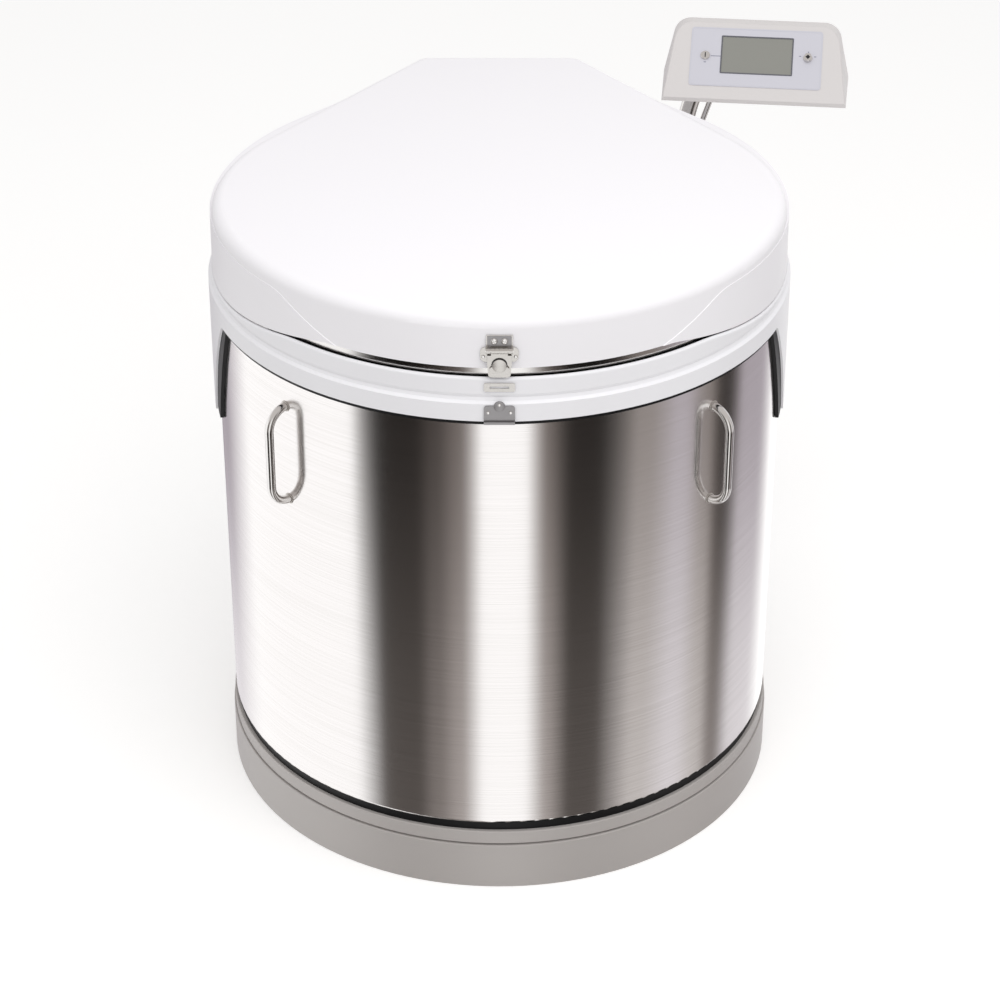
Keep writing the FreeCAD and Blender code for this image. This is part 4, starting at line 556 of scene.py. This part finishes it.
def round_disc(
    radius: float, thick: float, rounding: float = 0.5, segments: int = 3, sides: int = 64,
) -> bpy.types.Object:
    """Model a disc with a rounded front edge, in millimetres, with its foot on Z = 0.

    Args:
        radius: Radius.
        thick: Thickness along Z.
        rounding: Width of the rounded edge.
        segments: Steps of the rounded edge.
        sides: Number of sides.

    Returns:
        The disc.
    """
    disc = cylinder(sides, radius, thick, thick / 2)
    edit_edges(disc, above=thick * JUST_BELOW * MM)
    bpy.ops.mesh.bevel(offset=rounding * MM, segments=segments, affect="EDGES")
    leave_edit(disc)
    return disc


class Drive(Enum):
    """What a fastener's head has for its driver."""

    CROSS = "cross"
    HEX = "hex"
    NONE = "none"


@dataclass(frozen=True)
class Fastener:
    """A screw or rivet head that stands on a face, with its foot at the origin and its axis along +Z.

    The shares set the recess and the shoulder out from the head's own radius and height.
    """

    radius: float
    height: float
    drive: Drive
    sides: int = 40
    dome_share: float = 0.75
    chamfer_share: float = 0.25
    shoulder_share: float = 0.5
    bar_length_share: float = 1.15
    bar_width_share: float = 0.26
    bar_depth_share: float = 0.9
    bar_height_share: float = 0.95
    socket_share: float = 0.5
    smooth_degrees: float = 30.0

    def model(self) -> bpy.types.Object:
        """Model the head once: a disc with a rounded shoulder and its drive."""
        share = self.chamfer_share if self.drive is Drive.HEX else self.dome_share
        rounding = min(self.height * share, self.radius * self.shoulder_share)
        head = round_disc(self.radius, self.height, rounding, segments=4, sides=self.sides)
        if self.drive is Drive.CROSS:
            for turn in (0.0, 90.0):
                carve(head, self.bar(turn))
        elif self.drive is Drive.HEX:
            carve(head, cylinder(6, self.radius * self.socket_share, self.height, self.height))
        smooth(head, self.smooth_degrees)
        return head

    def bar(self, turn: float) -> bpy.types.Object:
        """Model one bar of the cross recess, turned about the head's axis in degrees."""
        bpy.ops.mesh.primitive_cube_add(
            size=1.0, location=(0, 0, self.height * self.bar_height_share * MM),
            rotation=(0, 0, math.radians(turn)),
        )
        cutter = bpy.context.object
        cutter.scale = (
            self.radius * self.bar_length_share * MM,
            self.radius * self.bar_width_share * MM,
            self.height * self.bar_depth_share * MM,
        )
        apply_place(cutter)
        return cutter


@dataclass(frozen=True)
class Station:
    """Where a head stands: the middle of its outer face, and its radius, in metres."""

    top: Vector
    radius: float


def islands(node: bpy.types.Object) -> list[list[Vector]]:
    """Return the corner points of each loose part of a node."""
    owner = list(range(len(node.data.vertices)))

    def root(index: int) -> int:
        while owner[index] != index:
            owner[index] = owner[owner[index]]
            index = owner[index]
        return index

    corners_at: dict[tuple[int, ...], int] = {}
    for vertex in node.data.vertices:
        spot = tuple(round(c * MICRONS) for c in vertex.co)
        owner[vertex.index] = corners_at.setdefault(spot, vertex.index)
    for edge in node.data.edges:
        first, second = (root(i) for i in edge.vertices)
        owner[first] = second
    groups: dict[int, list[Vector]] = {}
    for vertex in node.data.vertices:
        groups.setdefault(root(vertex.index), []).append(vertex.co.copy())
    return list(groups.values())


def stations(node: bpy.types.Object, normal: Vector) -> list[Station]:
    """Find where each loose head of a node stands.

    Args:
        node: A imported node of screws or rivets.
        normal: Which way the heads look.

    Returns:
        One station for each head.
    """
    across = normal.orthogonal().normalized()
    beside = normal.cross(across)
    found = []
    for points in islands(node):
        spans = []
        for way in (across, beside, normal):
            along = [point.dot(way) for point in points]
            spans.append((min(along), max(along)))
        middle = across * sum(spans[0]) / 2 + beside * sum(spans[1]) / 2 + normal * spans[2][1]
        found.append(Station(middle, (spans[0][1] - spans[0][0]) / 2))
    return found


@dataclass(frozen=True)
class FastenerRow:
    """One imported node's fasteners: what drives them, how high the heads are, and which way they look."""

    node: str
    body: Body
    drive: Drive
    normal: tuple[float, float, float]
    height_share: float = 0.5
    rivet_below_mm: float = 4.0
    first_spin: float = 17.0
    spin_step: float = 31.0

    def build(self, node: bpy.types.Object) -> bpy.types.Object:
        """Model each size of head once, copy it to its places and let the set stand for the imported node."""
        look = Vector(self.normal).normalized()
        masters: dict[int, bpy.types.Object] = {}
        copies = []
        for number, station in enumerate(stations(node, look)):
            tenths = round(station.radius / MM * 10)
            radius = tenths / 10
            if tenths not in masters:
                drive = Drive.NONE if radius < self.rivet_below_mm else self.drive
                masters[tenths] = Fastener(radius, radius * self.height_share, drive).model()
            foot = (station.top - look * radius * self.height_share * MM) / MM
            spin = self.first_spin + self.spin_step * number
            copies.append(copy_to(masters[tenths], facing(tuple(foot), look, spin)))
        for master in masters.values():
            bpy.data.objects.remove(master, do_unlink=True)
        row = settle(join(copies), f"{self.node}_heads", BRIGHT_STEEL, self.body)
        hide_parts(self.node)
        return row


@dataclass(frozen=True)
class Fasteners:
    """All screws and rivets that show."""

    flank: tuple[float, float, float] = (0.7266, 0.6871, 0.0)
    console_back: tuple[float, float, float] = (0.1080, 0.9942, 0.0)
    bolt_height_share: float = 0.6

    def build(self, nodes: dict[str, bpy.types.Object]) -> None:
        """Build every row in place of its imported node."""
        rows = (
            FastenerRow("rear_panel_screws", Body.TANK, Drive.CROSS, (0, 1, 0)),
            FastenerRow("hinge_screws_body", Body.TANK, Drive.CROSS, (0, 1, 0)),
            FastenerRow("hinge_screws_lid", Body.LID, Drive.CROSS, (0, 1, 0)),
            FastenerRow("arm_bracket_screws", Body.TANK, Drive.HEX, self.flank, self.bolt_height_share),
            FastenerRow("console_screws", Body.ARM, Drive.CROSS, self.console_back),
            FastenerRow("latch_screws", Body.LID, Drive.CROSS, (0, -1, 0)),
            FastenerRow("latch_keeper_rivets", Body.TANK, Drive.NONE, (0, -1, 0)),
        )
        for row in rows:
            row.build(nodes[row.node])
            LOG.info("fastened %s", row.node)


def rounded_plane(width: float, height: float, corner: float, segments: int) -> bpy.types.Object:
    """Add a plane on XY with rounded corners, in millimetres, and stay in edit mode with it selected."""
    deselect()
    bpy.ops.mesh.primitive_plane_add(size=1.0, location=(0, 0, 0))
    piece = bpy.context.object
    piece.scale = (width * MM, height * MM, 1.0)
    apply_place(piece)
    bpy.ops.object.mode_set(mode="EDIT")
    bpy.ops.mesh.select_mode(type="VERT")
    bpy.ops.mesh.select_all(action="SELECT")
    bpy.ops.mesh.bevel(offset=corner * MM, segments=segments, affect="VERTICES")
    bpy.ops.mesh.select_mode(type="FACE")
    bpy.ops.mesh.select_all(action="SELECT")
    return piece


def flat_piece(
    width: float, height: float, corner: float, thick: float, line: float = 0.0,
) -> bpy.types.Object:
    """Model a thin flat piece with rounded corners on the XY plane, whole or as a ring.

    Args:
        width: Size along X in millimetres.
        height: Size along Y in millimetres.
        corner: Corner radius in millimetres.
        thick: Thickness along Z in millimetres.
        line: Width of the ring's line in millimetres; 0 leaves the piece whole.

    Returns:
        The piece, with its foot on Z = 0.
    """
    piece = rounded_plane(width, height, corner, segments=6)
    if line:
        bpy.ops.mesh.inset(thickness=line * MM)
        bpy.ops.mesh.delete(type="FACE")
        bpy.ops.mesh.select_all(action="SELECT")
    bpy.ops.mesh.extrude_region_move(TRANSFORM_OT_translate={"value": (0, 0, thick * MM)})
    leave_edit(piece, 30.0)
    return piece


@dataclass(frozen=True)
class Tick:
    """One printed mark on the console's face: its middle from a control's own, and its size."""

    shift: tuple[float, float]
    size: tuple[float, float]


@dataclass(frozen=True)
class Keypad:
    """Printing and trim of the console's face, with painted shade round the overlay's edge and in the key's
    slot and a painted shadow round the screen, set out from the middle of its overlay.
    """

    normal: tuple[float, float, float] = (-0.0668, -0.6147, 0.7859)
    across: tuple[float, float, float] = (0.9942, -0.1080, 0.0)
    overlay: tuple[float, float] = (264.0, 133.0)
    border_inset: float = 3.0
    border_corner: float = 6.0
    border_line: float = 1.6
    screen: tuple[float, float] = (140.0, 81.0)
    screen_shift: tuple[float, float] = (1.4, 5.6)
    screen_margin: float = 2.5
    screen_line: float = 2.4
    key_shift: tuple[float, float] = (-102.0, 1.4)
    key_clear: float = 11.0
    key_line: float = 1.3
    key_slot: tuple[float, float] = (1.9, 10.0)
    slot_corner: float = 0.5
    knob_shift: tuple[float, float] = (103.5, 4.0)
    knob_ticks: tuple[Tick, ...] = (
        Tick((-15.5, 4.5), (4.5, 1.4)), Tick((0.8, 14.0), (1.4, 4.0)), Tick((14.5, 4.5), (4.5, 1.4)),
    )
    key_tick: Tick = Tick((0.0, -14.5), (5.0, 1.4))
    print_corner: float = 0.3
    print_and_shade_thick: float = 0.25
    diamond: float = 5.0
    diamond_thick: float = 0.4
    diamond_rounding: float = 0.2

    def frame_on(self, node: bpy.types.Object) -> Matrix:
        """Frame in the middle of a node's outer face, with X across the console and Z out of its face."""
        out = Vector(self.normal).normalized()
        right = Vector(self.across).normalized()
        up = out.cross(right).normalized()
        middle = Vector()
        for way in (right, up):
            along = [vertex.co.dot(way) for vertex in node.data.vertices]
            middle += way * (min(along) + max(along)) / 2
        middle += out * max(vertex.co.dot(out) for vertex in node.data.vertices)
        turn = Matrix((right, up, out)).transposed().to_4x4()
        return Matrix.Translation(middle) @ turn

    def put(
        self, piece: bpy.types.Object, base: Matrix, shift: tuple[float, float], name: str,
        finish: Finish, body: Body = Body.ARM,
    ) -> None:
        """Set a flat piece on the face at a shift from the frame's middle."""
        piece.data.transform(base @ Matrix.Translation((shift[0] * MM, shift[1] * MM, 0.0)))
        settle(piece, name, finish, body)

    def build(self, nodes: dict[str, bpy.types.Object]) -> None:
        """Add the rim of painted shade round the overlay, the frame of painted shadow round the screen, line,
        tick marks, the knob's inlay and the key's slot as a black patch of painted shade.
        """
        face = self.frame_on(nodes["console_overlay"])
        thick = self.print_and_shade_thick
        width, height = (side - self.border_inset for side in self.overlay)
        # Painted shade: a ring a little darker than the film along the overlay's sunk edge.
        border = flat_piece(width, height, self.border_corner, thick, line=self.border_line)
        self.put(border, face, (0, 0), "overlay_painted_shade_rim", OVERLAY_RIM_PAINTED_SHADE)
        width, height = (side + 2 * self.screen_margin for side in self.screen)
        # Painted shadow: a dark ring round the screen's sunk edge.
        frame = flat_piece(width, height, self.screen_margin, thick * 3, line=self.screen_line)
        self.put(frame, face, self.screen_shift, "screen_painted_shadow_frame", SCREEN_PAINTED_SHADOW)
        start = self.key_shift[0] + self.key_clear
        end = self.screen_shift[0] - self.screen[0] / 2 - self.screen_margin
        line = flat_piece(end - start, self.key_line, self.print_corner, thick)
        self.put(line, face, ((start + end) / 2, self.key_shift[1]), "key_line", PRINT_GREY)
        marks = [(self.knob_shift, tick) for tick in self.knob_ticks] + [(self.key_shift, self.key_tick)]
        ticks = join([self.mark(control, tick) for control, tick in marks])
        self.put(ticks, face, (0, 0), "face_ticks", PRINT_GREY)
        self.inlay(self.frame_on(nodes["selector_knob"]))
        # Painted shade: the key's slot is a flat black patch that stands in for the dark inside the slot.
        slot = flat_piece(*self.key_slot, self.slot_corner, thick)
        self.put(slot, self.frame_on(nodes["key_switch"]), (0, 0), "key_slot", BLACK_NYLON_AND_PAINTED_SHADE, Body.KEY)

    def mark(self, control: tuple[float, float], tick: Tick) -> bpy.types.Object:
        """Model one tick at its place beside a control."""
        piece = flat_piece(*tick.size, self.print_corner, self.print_and_shade_thick)
        place = [(middle + shift) * MM for middle, shift in zip(control, tick.shift)]
        piece.data.transform(Matrix.Translation((*place, 0.0)))
        return piece

    def inlay(self, top: Matrix) -> None:
        """Set the dark four-sided inlay into the knob's top."""
        diamond = round_disc(self.diamond, self.diamond_thick, self.diamond_rounding, segments=2, sides=4)
        self.put(diamond, top, (0, 0), "knob_inlay", BLACK_NYLON_AND_PAINTED_SHADE, Body.KNOB)


def jacket_radius() -> float:
    """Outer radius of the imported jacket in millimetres."""
    low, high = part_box("outer_jacket")
    return (high.x - low.x) / 2 / MM


@dataclass(frozen=True)
class HandleWelds:
    """The weld bead round each foot of the grab handles."""

    rod: float = 8.0
    clear: float = 0.9
    bead: float = 1.5
    unevenness: float = 0.2
    proud: float = 0.2
    foot_reach: float = 1.0
    steps: tuple[int, int] = (56, 12)

    def build(self, nodes: dict[str, bpy.types.Object]) -> None:
        """Model one bead and copy it to the feet of both handles."""
        deselect()
        bpy.ops.mesh.primitive_torus_add(
            major_radius=(self.rod + self.clear) * MM, minor_radius=self.bead * MM,
            major_segments=self.steps[0], minor_segments=self.steps[1],
        )
        bead = bpy.context.object
        bpy.ops.object.mode_set(mode="EDIT")
        bpy.ops.mesh.select_all(action="SELECT")
        bpy.ops.transform.vertex_random(offset=self.unevenness * MM, seed=4)
        leave_edit(bead, 60.0)
        copies = []
        for name in ("grab_handle_left", "grab_handle_right"):
            low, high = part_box(name)
            middle = (low.z + high.z) / 2
            corners_of = [vertex.co for vertex in nodes[name].data.vertices]
            reach = min(point.xy.length for point in corners_of) + self.foot_reach * MM
            feet = [point for point in corners_of if point.xy.length < reach]
            for is_upper in (False, True):
                ring = [point for point in feet if (point.z >= middle) is is_upper]
                foot = sum(ring, Vector()) / len(ring)
                out = Vector((foot.x, foot.y, 0.0)).normalized()
                place = out * (jacket_radius() + self.proud) + Vector((0, 0, foot.z / MM))
                copies.append(copy_to(bead, facing(tuple(place), out)))
        bpy.data.objects.remove(bead, do_unlink=True)
        settle(join(copies), "handle_welds", WELD, Body.TANK)


@dataclass(frozen=True)
class KeeperHump:
    """The half-round ear on top of the keeper, with its rivet."""

    radius: float = 10.0
    thick: float = 2.0
    rivet: float = 3.2
    rivet_height: float = 1.6
    seat: float = 0.3
    ear_drop: float = 1.0
    rivet_rise: float = 2.5

    def build(self) -> None:
        """Model ear and rivet on the keeper's upper edge."""
        _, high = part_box("latch_keeper")
        rivets_low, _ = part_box("latch_keeper_rivets")
        forward = Vector((0, -1, 0))
        front, top = rivets_low.y / MM + self.rivet_height, high.z / MM
        ear = round_disc(self.radius, self.thick, sides=56)
        ear.data.transform(facing((0.0, front + self.thick - self.seat, top - self.ear_drop), forward))
        settle(ear, "keeper_ear", DARK_METAL_AND_PAINTED_REFLECTION, Body.TANK)
        rivet = Fastener(self.rivet, self.rivet_height, Drive.NONE).model()
        rivet.data.transform(facing((0.0, front - self.seat, top + self.rivet_rise), forward))
        settle(rivet, "keeper_ear_rivet", BRIGHT_STEEL, Body.TANK)


@dataclass(frozen=True)
class LatchTrim:
    """The finger tab over the hasp's boss, a black ring behind it that paints the tab's shadow, and a thin
    dark plate behind the bracket's two screws that paints the bracket's dark reflection.
    """

    disc: float = 12.5
    disc_rise: float = 23.0
    disc_proud: float = 0.6
    tab: tuple[float, float] = (34.0, 20.0)
    tab_corner: float = 5.0
    tab_proud: float = 0.3
    tab_rise: float = 1.0
    ring: float = 1.2
    ring_share: float = 0.7
    plate: tuple[float, float] = (42.0, 20.0)
    plate_corner: float = 1.5
    plate_thick: float = 0.6
    plate_drop: float = 1.2
    boss_height: float = 3.0
    screw_height: float = 3.1

    def build(self) -> None:
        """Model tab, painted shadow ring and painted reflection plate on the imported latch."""
        low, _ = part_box("latch_hasp")
        bottom = low.z / MM
        back = low.y / MM + self.boss_height
        forward = Vector((0, -1, 0))
        disc = round_disc(self.disc, self.boss_height + self.disc_proud)
        disc.data.transform(facing((0.0, back, bottom + self.disc_rise), forward))
        tab = flat_piece(*self.tab, self.tab_corner, self.boss_height + self.tab_proud)
        tab.data.transform(facing((0.0, back, bottom + self.tab_rise + self.tab[1] / 2), forward))
        settle(join([disc, tab]), "hasp_tab", CAST_ZINC, Body.HASP)
        # Painted shadow: a black ring behind the tab, whose rim shows as a dark line round the disc.
        ring = round_disc(self.disc + self.ring, self.boss_height * self.ring_share)
        ring.data.transform(facing((0.0, back, bottom + self.disc_rise), forward))
        settle(ring, "hasp_tab_painted_shadow", BLACK_NYLON_AND_PAINTED_SHADE, Body.HASP)
        _, bracket_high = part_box("latch_bracket")
        screws_low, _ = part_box("latch_screws")
        # Painted reflection: a thin dark plate over the bracket, standing in for the dark that the bracket
        # reflects.
        plate = flat_piece(*self.plate, self.plate_corner, self.plate_thick)
        face = screws_low.y / MM + self.screw_height
        middle = bracket_high.z / MM - self.plate_drop - self.plate[1] / 2
        plate.data.transform(facing((0.0, face, middle), forward))
        settle(plate, "latch_painted_reflection_plate", DARK_METAL_AND_PAINTED_REFLECTION, Body.LID)


@dataclass(frozen=True)
class CollarGapShade:
    """A black bead of painted shade in the gap between the collar's lower edge and the jacket."""

    depth: float = 6.0
    height: float = 9.0
    corner: float = 1.0
    sunk: float = 0.2
    keeper_lip: float = 3.0
    steps: int = 192
    seam_gap: float = 0.02

    def build(self) -> None:
        """Spin one rounded profile round the jacket, just under the collar."""
        collar_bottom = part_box("latch_keeper")[0].z / MM + self.keeper_lip
        # Painted shade: the black bead darkens the gap under the collar.
        bead = rounded_plane(self.depth, self.height, self.corner, segments=3)
        bpy.ops.transform.rotate(value=math.pi / 2, orient_axis="X", center_override=(0, 0, 0))
        middle = jacket_radius() + self.depth / 2 - self.sunk
        bpy.ops.transform.translate(value=(middle * MM, 0, (collar_bottom - self.height / 2) * MM))
        bpy.ops.mesh.delete(type="ONLY_FACE")
        bpy.ops.mesh.select_all(action="SELECT")
        bpy.ops.mesh.spin(steps=self.steps, angle=math.tau, center=(0, 0, 0), axis=(0, 0, 1))
        bpy.ops.mesh.select_all(action="SELECT")
        bpy.ops.mesh.remove_doubles(threshold=self.seam_gap * MM)
        leave_edit(bead, 40.0)
        settle(bead, "collar_gap_painted_shade", BLACK_EDGING_AND_PAINTED_SHADE, Body.TANK)


@dataclass(frozen=True)
class JacketSeam:
    """The planished weld down the jacket's back, where the sheet closes."""

    width: float = 9.0
    corner: float = 2.0
    proud: float = 0.5
    sunk: float = 0.3
    clear: float = 12.0
    under_collar: float = 96.0

    def build(self) -> None:
        """Lay one thin strip from the base band up into the shroud's apron."""
        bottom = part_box("isolating_band")[1].z / MM + self.clear
        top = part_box("outer_jacket")[1].z / MM - self.under_collar
        strip = flat_piece(self.width, top - bottom, self.corner, self.proud + self.sunk)
        foot = (0.0, jacket_radius() - self.sunk, (top + bottom) / 2)
        strip.data.transform(facing(foot, Vector((0, 1, 0))))
        settle(strip, "jacket_seam", WELD, Body.TANK)


class Casework:
    """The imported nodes, each with the finish of its own material."""

    def finish_nodes(self, nodes: dict[str, bpy.types.Object]) -> None:
        """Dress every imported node.

        Args:
            nodes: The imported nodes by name.
        """
        for name, node in nodes.items():
            dress(node, NODE_FINISHES[name])
            LOG.info("dressed %s", name)


class Tone(Enum):
    """How bright a card of the studio's walls is."""

    WHITE = "FFFFFF"
    PALE = "DAD7DA"
    SOFT = "C6C2C0"
    GREY = "A8A29F"
    SHADE = "837D7A"
    DARK = "5A5552"


@dataclass(frozen=True)
class Card:
    """A tall card round the object, from bearing to bearing in degrees: 0 in front, 90 at the right."""

    start: float
    end: float
    tone: Tone


@dataclass
class Studio:
    """Camera, plain floor, and a white room whose dark and bright walls show only in reflections."""

    camera_place: tuple[float, float, float] = (0.001, -5.0326, 3.5832)
    camera_tilt: float = math.radians(58.797)
    lens_mm: float = 107.41
    sensor_mm: float = 36.0
    floor_size: float = 40.0
    floor_drop: float = 0.0005
    floor_glow: float = 0.30
    fill: float = 0.67
    key_power: float = 64.0
    key_side: float = 3.2
    key_place: tuple[float, float, float] = (0.5, -1.6, 3.9)
    key_aim: tuple[float, float, float] = (0.0, 0.0, 1.0)
    wall_strength: float = 1.3
    ceiling: str = "C4C0BE"
    deep_from: tuple[float, float] = (-0.56, -0.50)
    deep_to: tuple[float, float] = (-0.44, -0.30)
    deep_gamma: float = 1.9
    ceiling_from: tuple[float, float] = (0.15, 0.60)
    cards: tuple[Card, ...] = (
        Card(-180, -150, Tone.PALE), Card(-125, -62, Tone.WHITE), Card(-50, -34, Tone.DARK),
        Card(-28, -25, Tone.SHADE), Card(-18, -15, Tone.GREY), Card(-7, 11, Tone.WHITE),
        Card(19, 21, Tone.GREY), Card(29, 42, Tone.DARK), Card(57, 64, Tone.SOFT),
        Card(76, 82, Tone.PALE), Card(91, 95, Tone.SOFT), Card(102, 107, Tone.SHADE),
        Card(116, 135, Tone.PALE), Card(150, 180, Tone.WHITE),
    )

    def place_camera(self) -> None:
        """Set the camera where the photograph was taken from."""
        data = bpy.data.cameras.new("camera")
        data.lens = self.lens_mm
        data.sensor_width = self.sensor_mm
        camera = bpy.data.objects.new("camera", data)
        camera.location = self.camera_place
        camera.rotation_euler = (self.camera_tilt, 0.0, 0.0)
        bpy.context.scene.collection.objects.link(camera)
        bpy.context.scene.camera = camera

    def lay_floor(self) -> None:
        """Lay the white floor: it keeps the object's shadow and lets reflections see the room."""
        deselect()
        bpy.ops.mesh.primitive_plane_add(size=self.floor_size, location=(0, 0, -self.floor_drop))
        floor = bpy.context.object
        floor.name = "floor"
        material = bpy.data.materials.new("studio_floor")
        material.use_nodes = True
        tree = material.node_tree
        tree.nodes.clear()
        path = add_node(tree, "ShaderNodeLightPath")
        matt = add_node(tree, "ShaderNodeBsdfDiffuse", {"Color": srgb("F2F1F0")})
        glow = add_node(tree, "ShaderNodeEmission", {"Color": srgb("FFFFFF"), "Strength": self.floor_glow})
        lit = add_node(tree, "ShaderNodeAddShader", {0: matt.outputs[0], 1: glow.outputs[0]})
        seen = add_node(tree, "ShaderNodeMixShader", {
            0: path.outputs["Is Camera Ray"], 1: matt.outputs[0], 2: lit.outputs[0],
        })
        clear = add_node(tree, "ShaderNodeBsdfTransparent")
        mixed = add_node(tree, "ShaderNodeMixShader", {
            0: path.outputs["Is Glossy Ray"], 1: seen.outputs[0], 2: clear.outputs[0],
        })
        add_node(tree, "ShaderNodeOutputMaterial", {"Surface": mixed.outputs[0]})
        floor.data.materials.append(material)

    def light_room(self) -> None:
        """Light the object evenly, with the walls as bands that only glossy surfaces see.

        The walls deepen in a belt a little below the horizon, where the jacket's upper half looks, and
        turn into an even ceiling above it.
        """
        world = bpy.data.worlds.new("studio")
        bpy.context.scene.world = world
        world.use_nodes = True
        tree = world.node_tree
        tree.nodes.clear()
        path = add_node(tree, "ShaderNodeLightPath")
        way = add_node(tree, "ShaderNodeTexCoord")
        parts = add_node(tree, "ShaderNodeSeparateXYZ", {0: way.outputs["Generated"]})
        front = add_node(tree, "ShaderNodeMath", {0: parts.outputs["Y"], 1: -1.0}, operation="MULTIPLY")
        turn = add_node(tree, "ShaderNodeMath", {
            0: parts.outputs["X"], 1: front.outputs[0],
        }, operation="ARCTAN2")
        share = add_node(tree, "ShaderNodeMapRange", {
            "Value": turn.outputs[0], "From Min": -math.pi, "From Max": math.pi,
        })
        stops = [(angle, card.tone.value) for card in self.cards for angle in (card.start, card.end)]
        bands = ramp(tree, share.outputs[0], [((angle + 180) / 360, code) for angle, code in stops])
        rise = add_node(tree, "ShaderNodeMapRange", {
            "Value": parts.outputs["Z"], "From Min": self.deep_from[0], "From Max": self.deep_from[1],
        })
        fall = add_node(tree, "ShaderNodeMapRange", {
            "Value": parts.outputs["Z"], "From Min": self.deep_to[0], "From Max": self.deep_to[1],
            "To Min": self.deep_gamma, "To Max": 0.0,
        })
        deepen = add_node(tree, "ShaderNodeMath", {0: rise.outputs[0], 1: fall.outputs[0], 2: 1.0},
                          operation="MULTIPLY_ADD")
        deep = add_node(tree, "ShaderNodeGamma", {"Color": bands.outputs[0], "Gamma": deepen.outputs[0]})
        high = add_node(tree, "ShaderNodeMapRange", {
            "Value": parts.outputs["Z"], "From Min": self.ceiling_from[0], "From Max": self.ceiling_from[1],
        })
        walls = add_node(tree, "ShaderNodeMixRGB", {
            0: high.outputs[0], 1: deep.outputs[0], 2: srgb(self.ceiling),
        })
        even = add_node(tree, "ShaderNodeBackground", {"Color": srgb("FFFFFF"), "Strength": self.fill})
        mirrored = add_node(tree, "ShaderNodeBackground", {
            "Color": walls.outputs[0], "Strength": self.wall_strength,
        })
        white = add_node(tree, "ShaderNodeBackground", {"Color": srgb("FFFFFF"), "Strength": 1.0})
        glossy = add_node(tree, "ShaderNodeMixShader", {
            0: path.outputs["Is Glossy Ray"], 1: even.outputs[0], 2: mirrored.outputs[0],
        })
        direct = add_node(tree, "ShaderNodeMath", {
            0: path.outputs["Is Camera Ray"], 1: path.outputs["Is Transmission Ray"],
        }, operation="MAXIMUM")
        final = add_node(tree, "ShaderNodeMixShader", {
            0: direct.outputs[0], 1: glossy.outputs[0], 2: white.outputs[0],
        })
        add_node(tree, "ShaderNodeOutputWorld", {"Surface": final.outputs[0]})

    def hang_key(self) -> None:
        """Hang one broad soft lamp above and a little in front."""
        data = bpy.data.lights.new("key", "AREA")
        data.shape = "RECTANGLE"
        data.size = self.key_side
        data.size_y = self.key_side
        data.energy = self.key_power
        lamp = bpy.data.objects.new("key", data)
        lamp.location = self.key_place
        aim = Vector(self.key_aim) - lamp.location
        lamp.rotation_euler = aim.to_track_quat("-Z", "Y").to_euler()
        lamp.visible_glossy = False
        bpy.context.scene.collection.objects.link(lamp)

    def build(self) -> None:
        """Set up camera, floor and light."""
        self.place_camera()
        self.lay_floor()
        self.light_room()
        self.hang_key()
        view = bpy.context.scene.view_settings
        view.view_transform = "Standard"
        LOG.info("studio ready")


def main() -> None:
    """Dress the frame, add the pieces and set up the studio."""
    logging.basicConfig(level=logging.INFO, format="%(name)s: %(message)s")
    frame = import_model()
    deselect()
    nodes = frame["nodes"]
    Casework().finish_nodes(nodes)
    Fasteners().build(nodes)
    Keypad().build(nodes)
    HandleWelds().build(nodes)
    KeeperHump().build()
    LatchTrim().build()
    CollarGapShade().build()
    JacketSeam().build()
    Studio().build()


if __name__ == "__main__":
    main()
